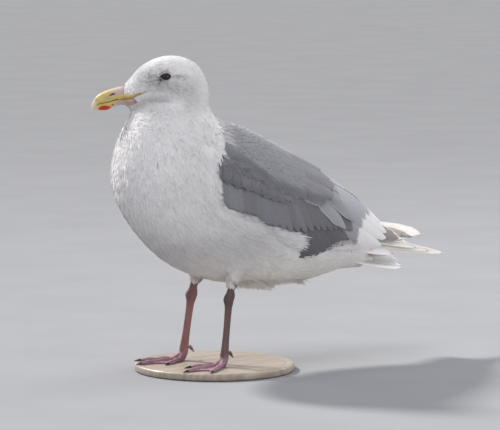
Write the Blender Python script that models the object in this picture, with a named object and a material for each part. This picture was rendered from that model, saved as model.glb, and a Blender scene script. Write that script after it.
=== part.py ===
"""A standing adult glaucous-winged gull, life size, as a still museum model.

Metres, +Z up. The body heads along -X and its left side faces -Y. The head is turned to the bird's
right. The model is worked out with the floor point between the ankles at the origin, and is moved at
the end so that the origin is the bottom centre of its box.
"""

import math

import bmesh
import bpy
import numpy as np
from mathutils import Matrix, Vector

MM = 0.001
GAP = 0.3 * MM  # between neighbouring pieces

# The neck turns about an upright axis in the mid-plane, a little more at each ring.
HEAD_TURN = math.radians(-38)
NECK_AXIS = Vector((-25 * MM, 0, 0))
TURN_RINGS = (7, 13)

# Rings of the body from under the wing tips to the bill's base, in mm: the mid-plane point on the back,
# the one on the belly side, the half-width, and where the ring is widest (0 at the back, 1 at the belly).
BODY_RINGS = (
    ((262, 154), (262, 108), 13, 0.50),  # only the wings reach this far back
    ((236, 170), (238, 99), 22, 0.52),
    ((200, 193), (200, 99.5), 36, 0.54),
    ((150, 221), (150, 90.5), 50, 0.52),
    ((100, 248), (92, 90), 58, 0.50),
    ((55, 270), (40, 94), 62, 0.47),
    ((25, 283), (-8, 104), 62, 0.47),  # over the legs
    ((13, 290), (-50, 124.5), 61, 0.48),
    ((8, 294), (-88, 159.5), 58, 0.50),
    ((5, 298), (-110.5, 197), 55, 0.53),
    ((3, 303), (-114, 230), 50, 0.55),  # the breast's furthest point
    ((2, 309), (-105.5, 267), 44, 0.54),
    ((3, 317), (-90, 297), 37, 0.50),  # the throat
    ((2.5, 325), (-88, 300.5), 32.5, 0.50),
    ((-3, 342), (-89, 301.5), 29, 0.50),
    ((-12.5, 356), (-89.5, 302.5), 27.5, 0.52),
    ((-30, 364.2), (-90, 303.5), 26.5, 0.54),
    ((-50, 365), (-91, 304.5), 25, 0.56),  # over the eyes
    ((-67, 359.3), (-92, 305.7), 22, 0.58),
    ((-80.5, 350.3), (-93.5, 307), 17.5, 0.58),
    ((-89, 340), (-94.6, 308.2), 13.5, 0.55),
    ((-96.6, 331.5), (-96, 309), 9.5, 0.50),  # the bill's base
)
TRUNK_END = 1  # the ring where the trunk ends, under the wings
RINGS_PER_STATION = 2
RING_POINTS = 24
SECTION_POWER = 2.25  # a little squarer than an ellipse

# Cuts that part the body, each through two mid-plane points of the straight bird and a ring's number.
NECK_CUT = ((3, 301), (-121, 236), 9)
HEAD_CUT = ((3, 321), (-88, 299), 12.5)

# Bill, in mm, in the head's straight pose: upper point, lower point and half-width of each ring.
UPPER_BILL = (
    ((-97.2, 331.9), (-96.7, 315.9), 8.6),
    ((-103.2, 329.6), (-103.0, 315.2), 7.8),
    ((-109.2, 328.0), (-108.5, 313.9), 7.0),
    ((-115.2, 326.1), (-114.5, 312.2), 6.3),
    ((-121.0, 323.5), (-120.0, 310.9), 5.6),
    ((-127.0, 320.3), (-125.5, 309.8), 4.8),
    ((-131.4, 316.2), (-129.0, 308.4), 3.9),
    ((-134.1, 311.5), (-131.6, 306.3), 3.0),
    ((-135.9, 305.8), (-133.4, 303.8), 1.9),
    ((-135.7, 300.3), (-134.6, 301.2), 0.8),  # the hooked tip
)
LOWER_BILL = (
    ((-96.8, 315.2), (-96.7, 308.6), 8.0),
    ((-103.0, 314.6), (-103.6, 307.5), 7.1),
    ((-109.0, 313.3), (-110.0, 305.4), 6.1),
    ((-114.5, 311.6), (-117.0, 302.0), 5.4),  # the gonys
    ((-120.0, 310.3), (-122.5, 301.8), 4.6),
    ((-125.5, 309.2), (-127.5, 301.9), 3.7),
    ((-128.8, 307.7), (-130.5, 301.8), 2.7),
    ((-131.2, 305.6), (-132.6, 302.0), 1.3),
)

EYE_X, EYE_Z = -47.8 * MM, 343.0 * MM
EYE_RADIUS = 6 * MM
EYE_DEPTH = 3.4 * MM  # of the eye's centre under the skin

# Ribs of the folded wing, from the tertials' tips to the wrist. Each has its upper and its lower end
# as a body ring's number and an angle from the back in degrees, and its thickness in mm.
WING_RIBS = (
    ((-0.2, 8), (-0.2, 122), 3.5),
    ((1.0, 6), (1.0, 104), 6.0),
    ((2.0, 6), (2.0, 107), 8.0),
    ((3.0, 6), (3.0, 108), 9.0),
    ((3.8, 7), (3.8, 112), 9.0),
    ((4.5, 8), (4.5, 106), 9.0),
    ((5.4, 10), (5.2, 99), 9.0),
    ((6.3, 15), (5.9, 99), 8.5),
    ((7.2, 24), (6.5, 98), 7.5),
    ((8.0, 36), (7.1, 96), 5.5),
    ((8.5, 50), (7.5, 90), 3.0),
)
WING_SEAT = 0.6 * MM  # from the trunk's true surface to the wing's inner face
WING_EDGE_SHARE = 0.35  # of the thickness, left at the edges
WING_STEPS = 18
WING_POINTS = 12
WING_END_X = 259 * MM

# Wing tips: x, upper edge z and y, lower edge z and y, thickness, in mm, for a left wing.
LEFT_PRIMARIES = (
    (259.5, 147.0, -5, 117.5, -21, 4.0),
    (275.0, 135.0, -4, 113.5, -21, 3.0),
    (300.0, 123.5, -3, 110.5, -19, 2.2),
    (330.0, 114.5, -4, 108.0, -16, 1.7),
    (355.0, 109.5, -6, 106.2, -13, 1.3),
    (364.0, 107.6, -8, 106.4, -11, 0.9),
)
RIGHT_PRIMARIES = (
    (259.5, 153.0, -5, 126.0, -21, 4.0),
    (275.0, 148.0, -5, 126.0, -23, 3.0),
    (305.0, 140.5, -6, 126.5, -23, 2.2),
    (330.0, 135.5, -9, 127.5, -21, 1.7),
    (347.0, 131.6, -12, 128.3, -18, 1.3),
    (353.0, 130.4, -14, 129.2, -16.5, 0.9),
)

# Tail: x, upper and lower z, half-width, in mm. It arches down to its edges.
TAIL_RINGS = (
    (238.6, 122.0, 103.0, 15),
    (250.0, 117.5, 103.0, 20),
    (265.0, 111.0, 102.0, 25),
    (278.0, 107.0, 101.8, 28),
    (290.0, 104.6, 102.0, 26),
    (297.0, 103.6, 102.2, 17),
)
TAIL_DROOP = 9.0  # per metre, times the square of the distance from the mid-plane

# Legs, in mm: the ankle, the joint above it, the feathered thigh's lower end and its top.
LEFT_LEG = {"ankle": (4.8, -35, 12), "joint": (12.3, -35, 82), "thigh": (16.5, -35, 96), "top": (24, -33, 120)}
RIGHT_LEG = {"ankle": (-2.5, 35, 12), "joint": (9.4, 35, 79.5), "thigh": (14.5, 35, 95), "top": (24, 33, 120)}
TARSUS_ACROSS = 0.54  # a tarsus is deeper from front to back than from side to side
THIGH_RADII = (6.4, 15.5)

# Feet: how far each points outward, and each toe's length without its claw and its angle outward.
FOOT_OUTWARD = {"left": math.radians(10), "right": math.radians(0)}
TOES = {
    "inner": (41.5 * MM, math.radians(-27)),
    "middle": (62.5 * MM, 0.0),
    "outer": (51.5 * MM, math.radians(27)),
}
TOE_SHARES = (0.03, 0.12, 0.3, 0.48, 0.66, 0.84, 1.0)
TOE_RADII = (4.2, 3.6, 2.8, 3.2, 2.5, 2.8, 2.1)  # mm, with a swelling at each knuckle
SOLE_FLAT = 0.9 * MM  # how deep the toes' undersides are flattened
WEB_BOTTOM = 0.4 * MM
WEB_THICKNESS = 1.3 * MM
WEB_SAG = 0.82  # how far out the web reaches between two toes
CLAW_LENGTH = 8.5 * MM
CLAW_RADIUS = 1.9 * MM

# The display base: a plain round board under the feet and the bird's balance point.
BASE_CENTRE_X = 17 * MM
BASE_RADIUS = 95 * MM
BASE_THICKNESS = 9 * MM
BASE_EDGE = 1.5 * MM


def clear_scene():
    for obj in list(bpy.data.objects):
        bpy.data.objects.remove(obj, do_unlink=True)


def new_material(name, colour, roughness):
    material = bpy.data.materials.new(name)
    material.use_nodes = True
    shader = material.node_tree.nodes["Principled BSDF"]
    shader.inputs["Base Color"].default_value = (*colour, 1)
    shader.inputs["Roughness"].default_value = roughness
    shader.inputs["Metallic"].default_value = 0
    return material


def new_collection(name):
    collection = bpy.data.collections.new(name)
    bpy.context.scene.collection.children.link(collection)
    return collection


def add_object(name, bm, material, collection):
    """One named object from a bmesh, smooth except at its sharp edges."""
    bmesh.ops.recalc_face_normals(bm, faces=bm.faces[:])
    mesh = bpy.data.meshes.new(name)
    bm.to_mesh(mesh)
    bm.free()
    mesh.shade_smooth()
    mesh.set_sharp_from_angle(angle=math.radians(45))
    obj = bpy.data.objects.new(name, mesh)
    if material:
        mesh.materials.append(material)
    collection.objects.link(obj)
    return obj


def add_cutter(name, bm, cutters):
    obj = add_object(name, bm, None, cutters)
    obj.hide_render = True
    obj.display_type = "WIRE"
    return obj


def boolean(obj, other, operation):
    modifier = obj.modifiers.new(operation.lower(), "BOOLEAN")
    modifier.operation = operation
    modifier.object = other


def flat_rows(rings):
    """Rows of plain numbers from rings that hold points as pairs."""
    return [tuple(n for item in ring for n in (item if isinstance(item, tuple) else (item,))) for ring in rings]


def smooth_rows(rows, at):
    """Catmull-Rom values of a table's rows at a fractional row number."""
    last = len(rows) - 1
    i = min(max(math.floor(at), 0), last - 1)
    u = at - i
    before, a, b, after = (np.array(rows[min(max(k, 0), last)], float) for k in (i - 1, i, i + 1, i + 2))
    square = 2 * before - 5 * a + 4 * b - after
    cube = 3 * a - before - 3 * b + after
    return 0.5 * (2 * a + (b - before) * u + square * u**2 + cube * u**3)


BODY_ROWS = flat_rows(BODY_RINGS)
LAST_RING = len(BODY_ROWS) - 1


def ring_point(row, angle, power=2.0):
    """A ring's point at an angle from its upper point, in metres. Positive angles are on the left."""
    upper, lower = Vector((row[0], 0, row[1])) * MM, Vector((row[2], 0, row[3])) * MM
    half_width, widest = row[4] * MM, row[5]
    c, s = math.cos(angle), math.sin(angle)
    rise = math.copysign(abs(c) ** (2 / power), c)
    share = widest * (1 - rise) if c > 0 else widest - (1 - widest) * rise
    point = upper.lerp(lower, share)
    point.y = -half_width * math.copysign(abs(s) ** (2 / power), s)
    return point


def turned(point, at):
    """Turns a point of the straight bird with the neck's ring at a number."""
    first, last = TURN_RINGS
    share = min(max((at - first) / (last - first), 0), 1)
    turn = Matrix.Rotation(HEAD_TURN * share * share * (3 - 2 * share), 3, "Z")
    return NECK_AXIS + turn @ (point - NECK_AXIS)


def body_point(at, angle):
    return turned(ring_point(smooth_rows(BODY_ROWS, at), angle, SECTION_POWER), at)


def over_body(at, angle, height):
    """A point at a height over the body's true surface."""
    step = 0.03
    along = body_point(at + step, angle) - body_point(at - step, angle)
    around = body_point(at, angle + step) - body_point(at, angle - step)
    return body_point(at, angle) + along.cross(around).normalized() * height


def loft(rings):
    """A closed bmesh over closed rings of points, with a fan at each end."""
    bm = bmesh.new()
    made = [[bm.verts.new(p) for p in ring] for ring in rings]
    for first, second in zip(made, made[1:]):
        for i in range(len(first)):
            j = (i + 1) % len(first)
            bm.faces.new((first[i], first[j], second[j], second[i]))
    for ring in (made[0], made[-1]):
        middle = bm.verts.new(sum((v.co for v in ring), Vector()) / len(ring))
        for i in range(len(ring)):
            bm.faces.new((ring[i], ring[(i + 1) % len(ring)], middle))
    bmesh.ops.recalc_face_normals(bm, faces=bm.faces[:])
    return bm


def full_circle(count):
    return [2 * math.pi * k / count for k in range(count)]


def body_bmesh(swell=0.0):
    """The whole body from the trunk's end to the bill's base, with its neck turned."""
    numbers = np.linspace(TRUNK_END, LAST_RING, (LAST_RING - TRUNK_END) * RINGS_PER_STATION + 1)
    bm = loft([[body_point(at, angle) for angle in full_circle(RING_POINTS)] for at in numbers])
    bm.normal_update()
    for vert, normal in [(v, v.normal.copy()) for v in bm.verts]:
        vert.co += normal * swell
    return bm


def cut_plane(bm, point, normal):
    """Keeps the part of a closed bmesh that the normal points to, and closes it."""
    made = bmesh.ops.bisect_plane(
        bm,
        geom=bm.verts[:] + bm.edges[:] + bm.faces[:],
        plane_co=point,
        plane_no=normal,
        clear_inner=True,
    )
    edges = [e for e in made["geom_cut"] if isinstance(e, bmesh.types.BMEdge)]
    cap = bmesh.ops.contextual_create(bm, geom=edges)
    bmesh.ops.triangulate(bm, faces=cap["faces"])
    return bm


def cut_body(bm, cut, side):
    """Parts the body at a plane that leans with the neck: side 1 keeps the head's side."""
    (back_x, back_z), (front_x, front_z), ring = cut
    back = turned(Vector((back_x, 0, back_z)) * MM, ring)
    front = turned(Vector((front_x, 0, front_z)) * MM, ring)
    lateral = (front - back).cross(Vector((0, 0, 1)))
    normal = side * lateral.cross(front - back).normalized()
    return cut_plane(bm, back + normal * GAP / 2, normal)


def build_body(parts, feathers):
    """Trunk, neck and head, parted by two thin plane cuts. Returns the head."""
    add_object("trunk", cut_body(body_bmesh(), NECK_CUT, -1), feathers, parts)
    add_object("neck", cut_body(cut_body(body_bmesh(), NECK_CUT, 1), HEAD_CUT, -1), feathers, parts)
    return add_object("head", cut_body(body_bmesh(), HEAD_CUT, 1), feathers, parts)


def head_half_width(x, z):
    """The straight head's half-width at a point of its mid-plane."""
    points = [
        ring_point(smooth_rows(BODY_ROWS, at), angle, SECTION_POWER)
        for at in np.linspace(LAST_RING - 8, LAST_RING, 80)
        for angle in np.linspace(0.05, math.pi - 0.05, 60)
    ]
    nearest = min(points, key=lambda p: math.hypot(p.x - x, p.z - z))
    return -nearest.y


def build_eyes(head, parts, cutters, material):
    """Two eyeballs, each in a socket cut in the head."""
    out = head_half_width(EYE_X, EYE_Z) - EYE_DEPTH
    for side, name in ((-1, "eye_left"), (1, "eye_right")):
        centre = turned(Vector((EYE_X, side * out, EYE_Z)), LAST_RING)
        ball, socket = bmesh.new(), bmesh.new()
        for bm, radius in ((ball, EYE_RADIUS), (socket, EYE_RADIUS + GAP)):
            bmesh.ops.create_uvsphere(bm, u_segments=16, v_segments=10, radius=radius)
            bmesh.ops.translate(bm, verts=bm.verts[:], vec=centre)
        add_object(name, ball, material, parts)
        boolean(head, add_cutter(name + "_socket", socket, cutters), "DIFFERENCE")


def build_bill(name, rings, widest, parts, material):
    """One mandible: flat at its cutting edge, where it is widest, and round above or below it."""
    rows = [(*row, widest) for row in flat_rows(rings)]
    made = []
    for at in np.linspace(0, len(rows) - 1, 2 * len(rows) - 1):
        row = smooth_rows(rows, at)
        made.append([turned(ring_point(row, angle), LAST_RING) for angle in full_circle(20)])
    add_object(name, loft(made), material, parts)


def build_wing(name, side, parts, material):
    """The folded wing as a shell over the trunk's side, from the tertials' tips to the wrist."""
    ribs = flat_rows(WING_RIBS)
    rings = []
    for number in np.linspace(0, len(ribs) - 1, WING_STEPS + 1):
        top_ring, top_angle, low_ring, low_angle, thickness = smooth_rows(ribs, number)
        inner, outer = [], []
        for share in np.linspace(0, 1, WING_POINTS + 1):
            at = top_ring + (low_ring - top_ring) * share
            angle = side * math.radians(top_angle + (low_angle - top_angle) * share)
            swell = WING_EDGE_SHARE + (1 - WING_EDGE_SHARE) * math.sin(math.pi * share) ** 0.6
            inner.append(over_body(at, angle, WING_SEAT))
            outer.append(over_body(at, angle, WING_SEAT + thickness * MM * swell))
        rings.append(inner + outer[::-1])
    bm = cut_plane(loft(rings), Vector((WING_END_X, 0, 0)), Vector((-1, 0, 0)))
    add_object(name, bm, material, parts)


def build_primaries(name, side, rows, parts, material):
    """The long feathers past the tertials, as one tapering blade whose lower edge stands outward."""
    rings = []
    for at in np.linspace(0, len(rows) - 1, 2 * len(rows) - 1):
        x, upper_z, upper_y, lower_z, lower_y, thickness = smooth_rows(rows, at)
        upper, lower = Vector((x, side * upper_y, upper_z)), Vector((x, side * lower_y, lower_z))
        middle, half = (upper + lower) / 2, (upper - lower) / 2
        across = half.cross(Vector((1, 0, 0))).normalized() * thickness / 2
        rings.append([(middle + half * math.cos(a) + across * math.sin(a)) * MM for a in full_circle(12)])
    add_object(name, loft(rings), material, parts)


def build_tail(parts, material):
    rows = [(x, top, x, low, half_width, 0.5) for x, top, low, half_width in TAIL_RINGS]
    rings = []
    for at in np.linspace(0, len(rows) - 1, 2 * len(rows) - 1):
        ring = [ring_point(smooth_rows(rows, at), angle) for angle in full_circle(24)]
        for p in ring:
            p.z -= TAIL_DROOP * p.y * p.y
        rings.append(ring)
    add_object("tail", loft(rings), material, parts)


def tube(path, radii, sides, lateral, across=1.0):
    """A closed tube along a path, each ring square to it and narrower from side to side by a share."""
    rings = []
    for i, (point, radius) in enumerate(zip(path, radii)):
        before, after = path[max(i - 1, 0)], path[min(i + 1, len(path) - 1)]
        along = (after - before).normalized()
        side = (lateral - along * along.dot(lateral)).normalized()
        fore = along.cross(side)
        circle = full_circle(sides)
        rings.append([point + (fore * math.cos(a) + side * across * math.sin(a)) * radius for a in circle])
    return loft(rings)


def headings(side_name, spread=0.0):
    """A foot's or a toe's direction over the floor, and the direction across it."""
    side = -1 if side_name == "left" else 1
    angle = FOOT_OUTWARD[side_name] + spread
    direction = Vector((-math.cos(angle), side * math.sin(angle), 0))
    return direction, Vector((-direction.y, direction.x, 0))


def build_leg(side_name, leg, parts, swollen, feathers, skin):
    """The feathered thigh's end, cut to the belly, and the bare shank with its joint."""
    ankle, joint, thigh, top = (Vector(leg[key]) * MM for key in ("ankle", "joint", "thigh", "top"))
    small, large = (r * MM for r in THIGH_RADII)
    direction, lateral = headings(side_name)
    path = [thigh, thigh.lerp(top, 0.35), thigh.lerp(top, 0.7), top]
    bm = tube(path, [small, small * 1.4, large * 0.85, large], 16, lateral, 0.8)
    boolean(add_object("thigh_" + side_name, bm, feathers, parts), swollen, "DIFFERENCE")

    start = thigh - (top - thigh).normalized() * GAP
    foot_top = ankle + (joint - ankle).normalized() * 3 * MM
    knob = -direction * 1.5 * MM
    path = [start, start.lerp(joint, 0.5), joint.lerp(start, 0.2) + knob * 0.7, joint + knob]
    path += [joint.lerp(foot_top, 0.08) + knob * 0.5]
    path += [joint.lerp(foot_top, share) for share in (0.18, 0.45, 0.7, 0.88, 1.0)]
    radii = [r * MM for r in (5.0, 5.3, 6.8, 7.6, 6.6, 5.3, 4.8, 4.9, 5.5, 6.2)]
    add_object("shank_" + side_name, tube(path, radii, 14, lateral, TARSUS_ACROSS), skin, parts)


def toe_path(ankle, direction, length):
    """A toe's centre line: down from the ankle and along the floor."""
    floor = Vector((ankle.x, ankle.y, 0))
    heights = [ankle.z - 4 * MM, 5.8 * MM] + [r * MM - SOLE_FLAT for r in TOE_RADII[2:]]
    return [floor + direction * length * share + Vector((0, 0, z)) for share, z in zip(TOE_SHARES, heights)]


def web_bmesh(heel, tips):
    """The web as a flat plate, bowed in between the neighbouring toes' tips."""
    outline = [heel]
    for first, second in zip(tips, tips[1:]):
        for share in (0.0, 0.25, 0.5, 0.75):
            sag = 1 - (1 - WEB_SAG) * 4 * share * (1 - share)
            outline.append(heel + (first.lerp(second, share) - heel) * sag)
    outline.append(tips[-1])
    bm = bmesh.new()
    face = bm.faces.new([bm.verts.new(p + Vector((0, 0, WEB_BOTTOM))) for p in outline])
    made = bmesh.ops.extrude_face_region(bm, geom=[face])
    top = [v for v in made["geom"] if isinstance(v, bmesh.types.BMVert)]
    bmesh.ops.translate(bm, verts=top, vec=(0, 0, WEB_THICKNESS))
    return bm


def claw_bmesh(base, direction, lateral):
    """A claw that curves down from a toe's tip to just above the floor."""
    path, radii = [], []
    for share in (0.0, 0.35, 0.7, 1.0):
        radius = CLAW_RADIUS * (1 - 0.8 * share)
        height = radius + 0.1 * MM + 0.5 * MM * share * (1 - share)
        path.append(Vector((base.x, base.y, height)) + direction * CLAW_LENGTH * share)
        radii.append(radius)
    return tube(path, radii, 8, lateral, 0.8)


def build_foot(side_name, leg, parts, cutters, skin, horn):
    """Three toes joined by the web and flattened at the floor, with their claws."""
    ankle, joint = Vector(leg["ankle"]) * MM, Vector(leg["joint"]) * MM
    heading, across = headings(side_name)
    up = (joint - ankle).normalized()
    path = [ankle + up * (3 * MM - GAP), ankle - up * 3 * MM, ankle - up * 8 * MM + heading * 1.5 * MM]
    path.append(Vector((ankle.x, ankle.y, 1 * MM)) + heading * 3 * MM)
    pad = tube(path, [6.0 * MM, 5.8 * MM, 5.4 * MM, 4.2 * MM], 14, across, 0.72)
    foot = add_object("foot_" + side_name, pad, skin, parts)
    tips = []
    for toe, (length, spread) in TOES.items():
        direction, lateral = headings(side_name, spread)
        path = toe_path(ankle, direction, length)
        member = tube(path, [r * MM for r in TOE_RADII], 10, lateral)
        boolean(foot, add_cutter(f"{side_name}_{toe}_toe", member, cutters), "UNION")
        tips.append(Vector((path[-1].x, path[-1].y, 0)) - direction * 3 * MM)
        claw = claw_bmesh(path[-1] + direction * GAP, direction, lateral)
        add_object(f"claw_{toe}_{side_name}", claw, horn, parts)
    web = web_bmesh(Vector((ankle.x, ankle.y, 0)), tips)
    boolean(foot, add_cutter(side_name + "_web", web, cutters), "UNION")
    floor = bmesh.new()
    bmesh.ops.create_cube(floor, size=0.3)
    bmesh.ops.translate(floor, verts=floor.verts[:], vec=(0, 0, -0.15))
    boolean(foot, add_cutter(side_name + "_floor", floor, cutters), "DIFFERENCE")


def build_hind_toe(side_name, leg, parts, skin, horn):
    """The small hind toe hangs off the heel, clear of the floor."""
    heading, lateral = headings(side_name)
    direction = (Vector((0, 0, -0.72)) - heading * 0.7).normalized()
    base = Vector(leg["ankle"]) * MM + Vector((0, 0, 4.5 * MM)) - heading * 8.2 * MM
    path = [base, base + direction * 4 * MM, base + direction * 7 * MM]
    toe = tube(path, [2.1 * MM, 1.9 * MM, 1.5 * MM], 8, lateral)
    add_object("hind_toe_" + side_name, toe, skin, parts)
    tip = path[-1] + direction * GAP
    path = [tip, tip + direction * 2 * MM, tip + direction * 3.8 * MM + heading * 0.6 * MM]
    claw = tube(path, [1.4 * MM, 1.0 * MM, 0.5 * MM], 8, lateral)
    add_object("claw_hind_" + side_name, claw, horn, parts)


def build_base(parts, material):
    bm = bmesh.new()
    bmesh.ops.create_cone(
        bm,
        cap_ends=True,
        segments=48,
        radius1=BASE_RADIUS,
        radius2=BASE_RADIUS,
        depth=BASE_THICKNESS,
    )
    bmesh.ops.translate(bm, verts=bm.verts[:], vec=(BASE_CENTRE_X, 0, -BASE_THICKNESS / 2 - 0.05 * MM))
    rims = [e for e in bm.edges if abs(e.verts[0].co.z - e.verts[1].co.z) < 0.01 * MM]
    bmesh.ops.bevel(bm, geom=rims, offset=BASE_EDGE, segments=1, affect="EDGES")
    add_object("stand_base", bm, material, parts)


def centre_on_floor(collection):
    """Moves the whole model so that the origin is the bottom centre of its box."""
    graph = bpy.context.evaluated_depsgraph_get()
    points = []
    for obj in collection.objects:
        evaluated = obj.evaluated_get(graph)
        points += [evaluated.matrix_world @ vert.co for vert in evaluated.data.vertices]
    low = [min(p[axis] for p in points) for axis in range(3)]
    high = [max(p[axis] for p in points) for axis in range(3)]
    for obj in bpy.data.objects:
        obj.location -= Vector(((low[0] + high[0]) / 2, (low[1] + high[1]) / 2, low[2]))


def main():
    clear_scene()
    parts, cutters = new_collection("gull"), new_collection("cutters")
    white = new_material("white_plumage", (0.80, 0.79, 0.78), 0.9)
    grey = new_material("grey_plumage", (0.26, 0.26, 0.28), 0.85)
    pale = new_material("pale_feathers", (0.78, 0.76, 0.72), 0.8)
    yellow = new_material("bill_horn", (0.70, 0.52, 0.18), 0.4)
    pink = new_material("leg_skin", (0.52, 0.27, 0.28), 0.55)
    dark = new_material("claw_horn", (0.05, 0.04, 0.04), 0.4)
    eye = new_material("eye", (0.02, 0.015, 0.012), 0.05)
    wood = new_material("base_wood", (0.30, 0.25, 0.20), 0.5)

    head = build_body(parts, white)
    swollen = add_cutter("swollen_body", body_bmesh(GAP), cutters)
    build_eyes(head, parts, cutters, eye)
    build_bill("bill_upper", UPPER_BILL, 1.0, parts, yellow)
    build_bill("bill_lower", LOWER_BILL, 0.0, parts, yellow)
    build_wing("wing_left", 1, parts, grey)
    build_wing("wing_right", -1, parts, grey)
    build_primaries("primaries_left", 1, LEFT_PRIMARIES, parts, pale)
    build_primaries("primaries_right", -1, RIGHT_PRIMARIES, parts, pale)
    build_tail(parts, white)
    for side_name, leg in (("left", LEFT_LEG), ("right", RIGHT_LEG)):
        build_leg(side_name, leg, parts, swollen, white, pink)
        build_foot(side_name, leg, parts, cutters, pink, dark)
        build_hind_toe(side_name, leg, parts, pink, dark)
    build_base(parts, wood)
    bpy.context.view_layer.update()
    centre_on_floor(parts)


main()
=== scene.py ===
"""The looks of a standing adult glaucous-winged gull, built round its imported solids.

Sizes are in millimetres in the bird's own coordinates: the floor point between the ankles is the origin,
the body heads along -x, the bird's left faces -y and +z is up. The head is turned to the bird's right.
"Straight" coordinates are those of the head before that turn.
"""

import math

import bmesh
import bpy
import numpy as np
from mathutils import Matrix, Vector
from mathutils.bvhtree import BVHTree


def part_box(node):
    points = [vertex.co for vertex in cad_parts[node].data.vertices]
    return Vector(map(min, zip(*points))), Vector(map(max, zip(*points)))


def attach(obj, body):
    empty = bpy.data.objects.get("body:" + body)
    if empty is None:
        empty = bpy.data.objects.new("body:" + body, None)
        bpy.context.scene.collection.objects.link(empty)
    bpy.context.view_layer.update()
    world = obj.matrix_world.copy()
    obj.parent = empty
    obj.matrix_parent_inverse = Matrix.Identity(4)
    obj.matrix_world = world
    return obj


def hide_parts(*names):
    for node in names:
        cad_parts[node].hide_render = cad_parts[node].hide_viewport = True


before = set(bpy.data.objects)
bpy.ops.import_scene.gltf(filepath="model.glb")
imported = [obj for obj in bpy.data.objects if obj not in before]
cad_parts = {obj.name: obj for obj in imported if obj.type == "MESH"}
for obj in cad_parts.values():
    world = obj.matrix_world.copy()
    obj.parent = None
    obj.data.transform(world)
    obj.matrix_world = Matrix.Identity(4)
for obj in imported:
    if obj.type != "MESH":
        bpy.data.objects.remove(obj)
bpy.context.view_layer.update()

MM = 0.001
SEED = 12
FULL_TURN = 2 * math.pi
UP = np.array([0, 0, 1.0])
SIDES = (("left", -1), ("right", 1))

base_low, base_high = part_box("stand_base")
BASE_BEHIND = 17.0  # from the ankles to the base's centre
SOLE_CLEARANCE = 0.05
ORIGIN = np.array([
    (base_low.x + base_high.x) / 2 - BASE_BEHIND * MM,
    (base_low.y + base_high.y) / 2,
    base_high.z + SOLE_CLEARANCE * MM,
])

HEAD_TURN = math.radians(-38)
NECK_AXIS = np.array([-25.0, 0.0, 0.0])
EYE_X, EYE_Z = -47.8, 343.0  # straight
MOUTH_FROM = -49  # straight x from which distances forward along the mouth are counted
BILL_BASE = -97  # straight x
LEG_SIDE = 35  # from the middle of the body to each leg

VOXEL = 2.2
GROW = 0.5  # closes the gaps between the solids before they are joined


# ---------------------------------------------------------------- small tools


def step(low, high, value):
    """A smooth rise from 0 at one value to 1 at another, which may be the smaller one."""
    share = np.clip((value - low) / (high - low), 0, 1)
    return share * share * (3 - 2 * share)


def blob(x, at_x, wide, z, at_z, high):
    """A soft spot: 1 in its middle and less outwards."""
    return np.exp(-((x - at_x) / wide) ** 2 - ((z - at_z) / high) ** 2)


def blend(first, second, share):
    """Colours between two, by each point's share of the second."""
    share = np.asarray(share)[..., None]
    return first * (1 - share) + second * share


def unit(vectors):
    return vectors / np.maximum(np.linalg.norm(vectors, axis=-1, keepdims=True), 1e-9)


def line(points, at):
    """The second value of a line of points, at values of the first."""
    table = np.array(points, float)
    return np.interp(at, table[:, 0], table[:, 1])


def along_line(points, count):
    """Evenly spaced places along a line of (x, z) points."""
    table = np.array(points, float)
    lengths = np.concatenate([[0], np.cumsum(np.linalg.norm(np.diff(table, axis=0), axis=1))])
    at = np.linspace(0, 1, count) * lengths[-1]
    return np.interp(at, lengths, table[:, 0]), np.interp(at, lengths, table[:, 1])


def evened(values):
    """Each inner row's mean with its neighbours."""
    return (values[:-2] + 2 * values[1:-1] + values[2:]) / 4


def linear(red, green, blue):
    """A linear colour from display values of 0 to 255."""
    display = np.array([red, green, blue]) / 255
    return np.where(display <= 0.04045, display / 12.92, ((display + 0.055) / 1.055) ** 2.4)


def about_neck(points, angle):
    c, s = math.cos(angle), math.sin(angle)
    p = np.asarray(points, float) - NECK_AXIS
    return np.stack([c * p[..., 0] - s * p[..., 1], s * p[..., 0] + c * p[..., 1], p[..., 2]], -1) + NECK_AXIS


def turned(points):
    """Points of the head from the straight pose to the turned one."""
    return about_neck(points, HEAD_TURN)


def straight(points):
    """Points of the head from the turned pose back to the straight one."""
    return about_neck(points, -HEAD_TURN)


def turned_way(*way):
    return turned([way])[0] - turned([[0, 0, 0]])[0]


def box(node):
    """The lowest and highest corner of a node, in the bird's millimetres."""
    return ((np.array(corner) - ORIGIN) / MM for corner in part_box(node))


def linked(name, data):
    """A new object in the scene."""
    obj = bpy.data.objects.new(name, data)
    bpy.context.scene.collection.objects.link(obj)
    return obj


def clean_bmesh(node):
    """A node's solid as one welded bmesh, in the frame's metres."""
    bm = bmesh.new()
    bm.from_mesh(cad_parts[node].data)
    bmesh.ops.remove_doubles(bm, verts=bm.verts[:], dist=0.01 * MM)
    bmesh.ops.recalc_face_normals(bm, faces=bm.faces[:])
    bm.normal_update()
    return bm


def evaluated(bm, kind, **settings):
    """The points and faces of a bmesh, which is used up, after one modifier."""
    mesh = bpy.data.meshes.new("work")
    bm.to_mesh(mesh)
    bm.free()
    obj = linked("work", mesh)
    modifier = obj.modifiers.new("work", kind)
    for name, value in settings.items():
        setattr(modifier, name, value)
    result = obj.evaluated_get(bpy.context.evaluated_depsgraph_get())
    made = result.to_mesh()
    points = np.empty(len(made.vertices) * 3)
    made.vertices.foreach_get("co", points)
    arrays = (points.reshape(-1, 3) - ORIGIN) / MM, [tuple(p.vertices) for p in made.polygons]
    result.to_mesh_clear()
    bpy.data.objects.remove(obj)
    bpy.data.meshes.remove(mesh)
    return arrays


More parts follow.
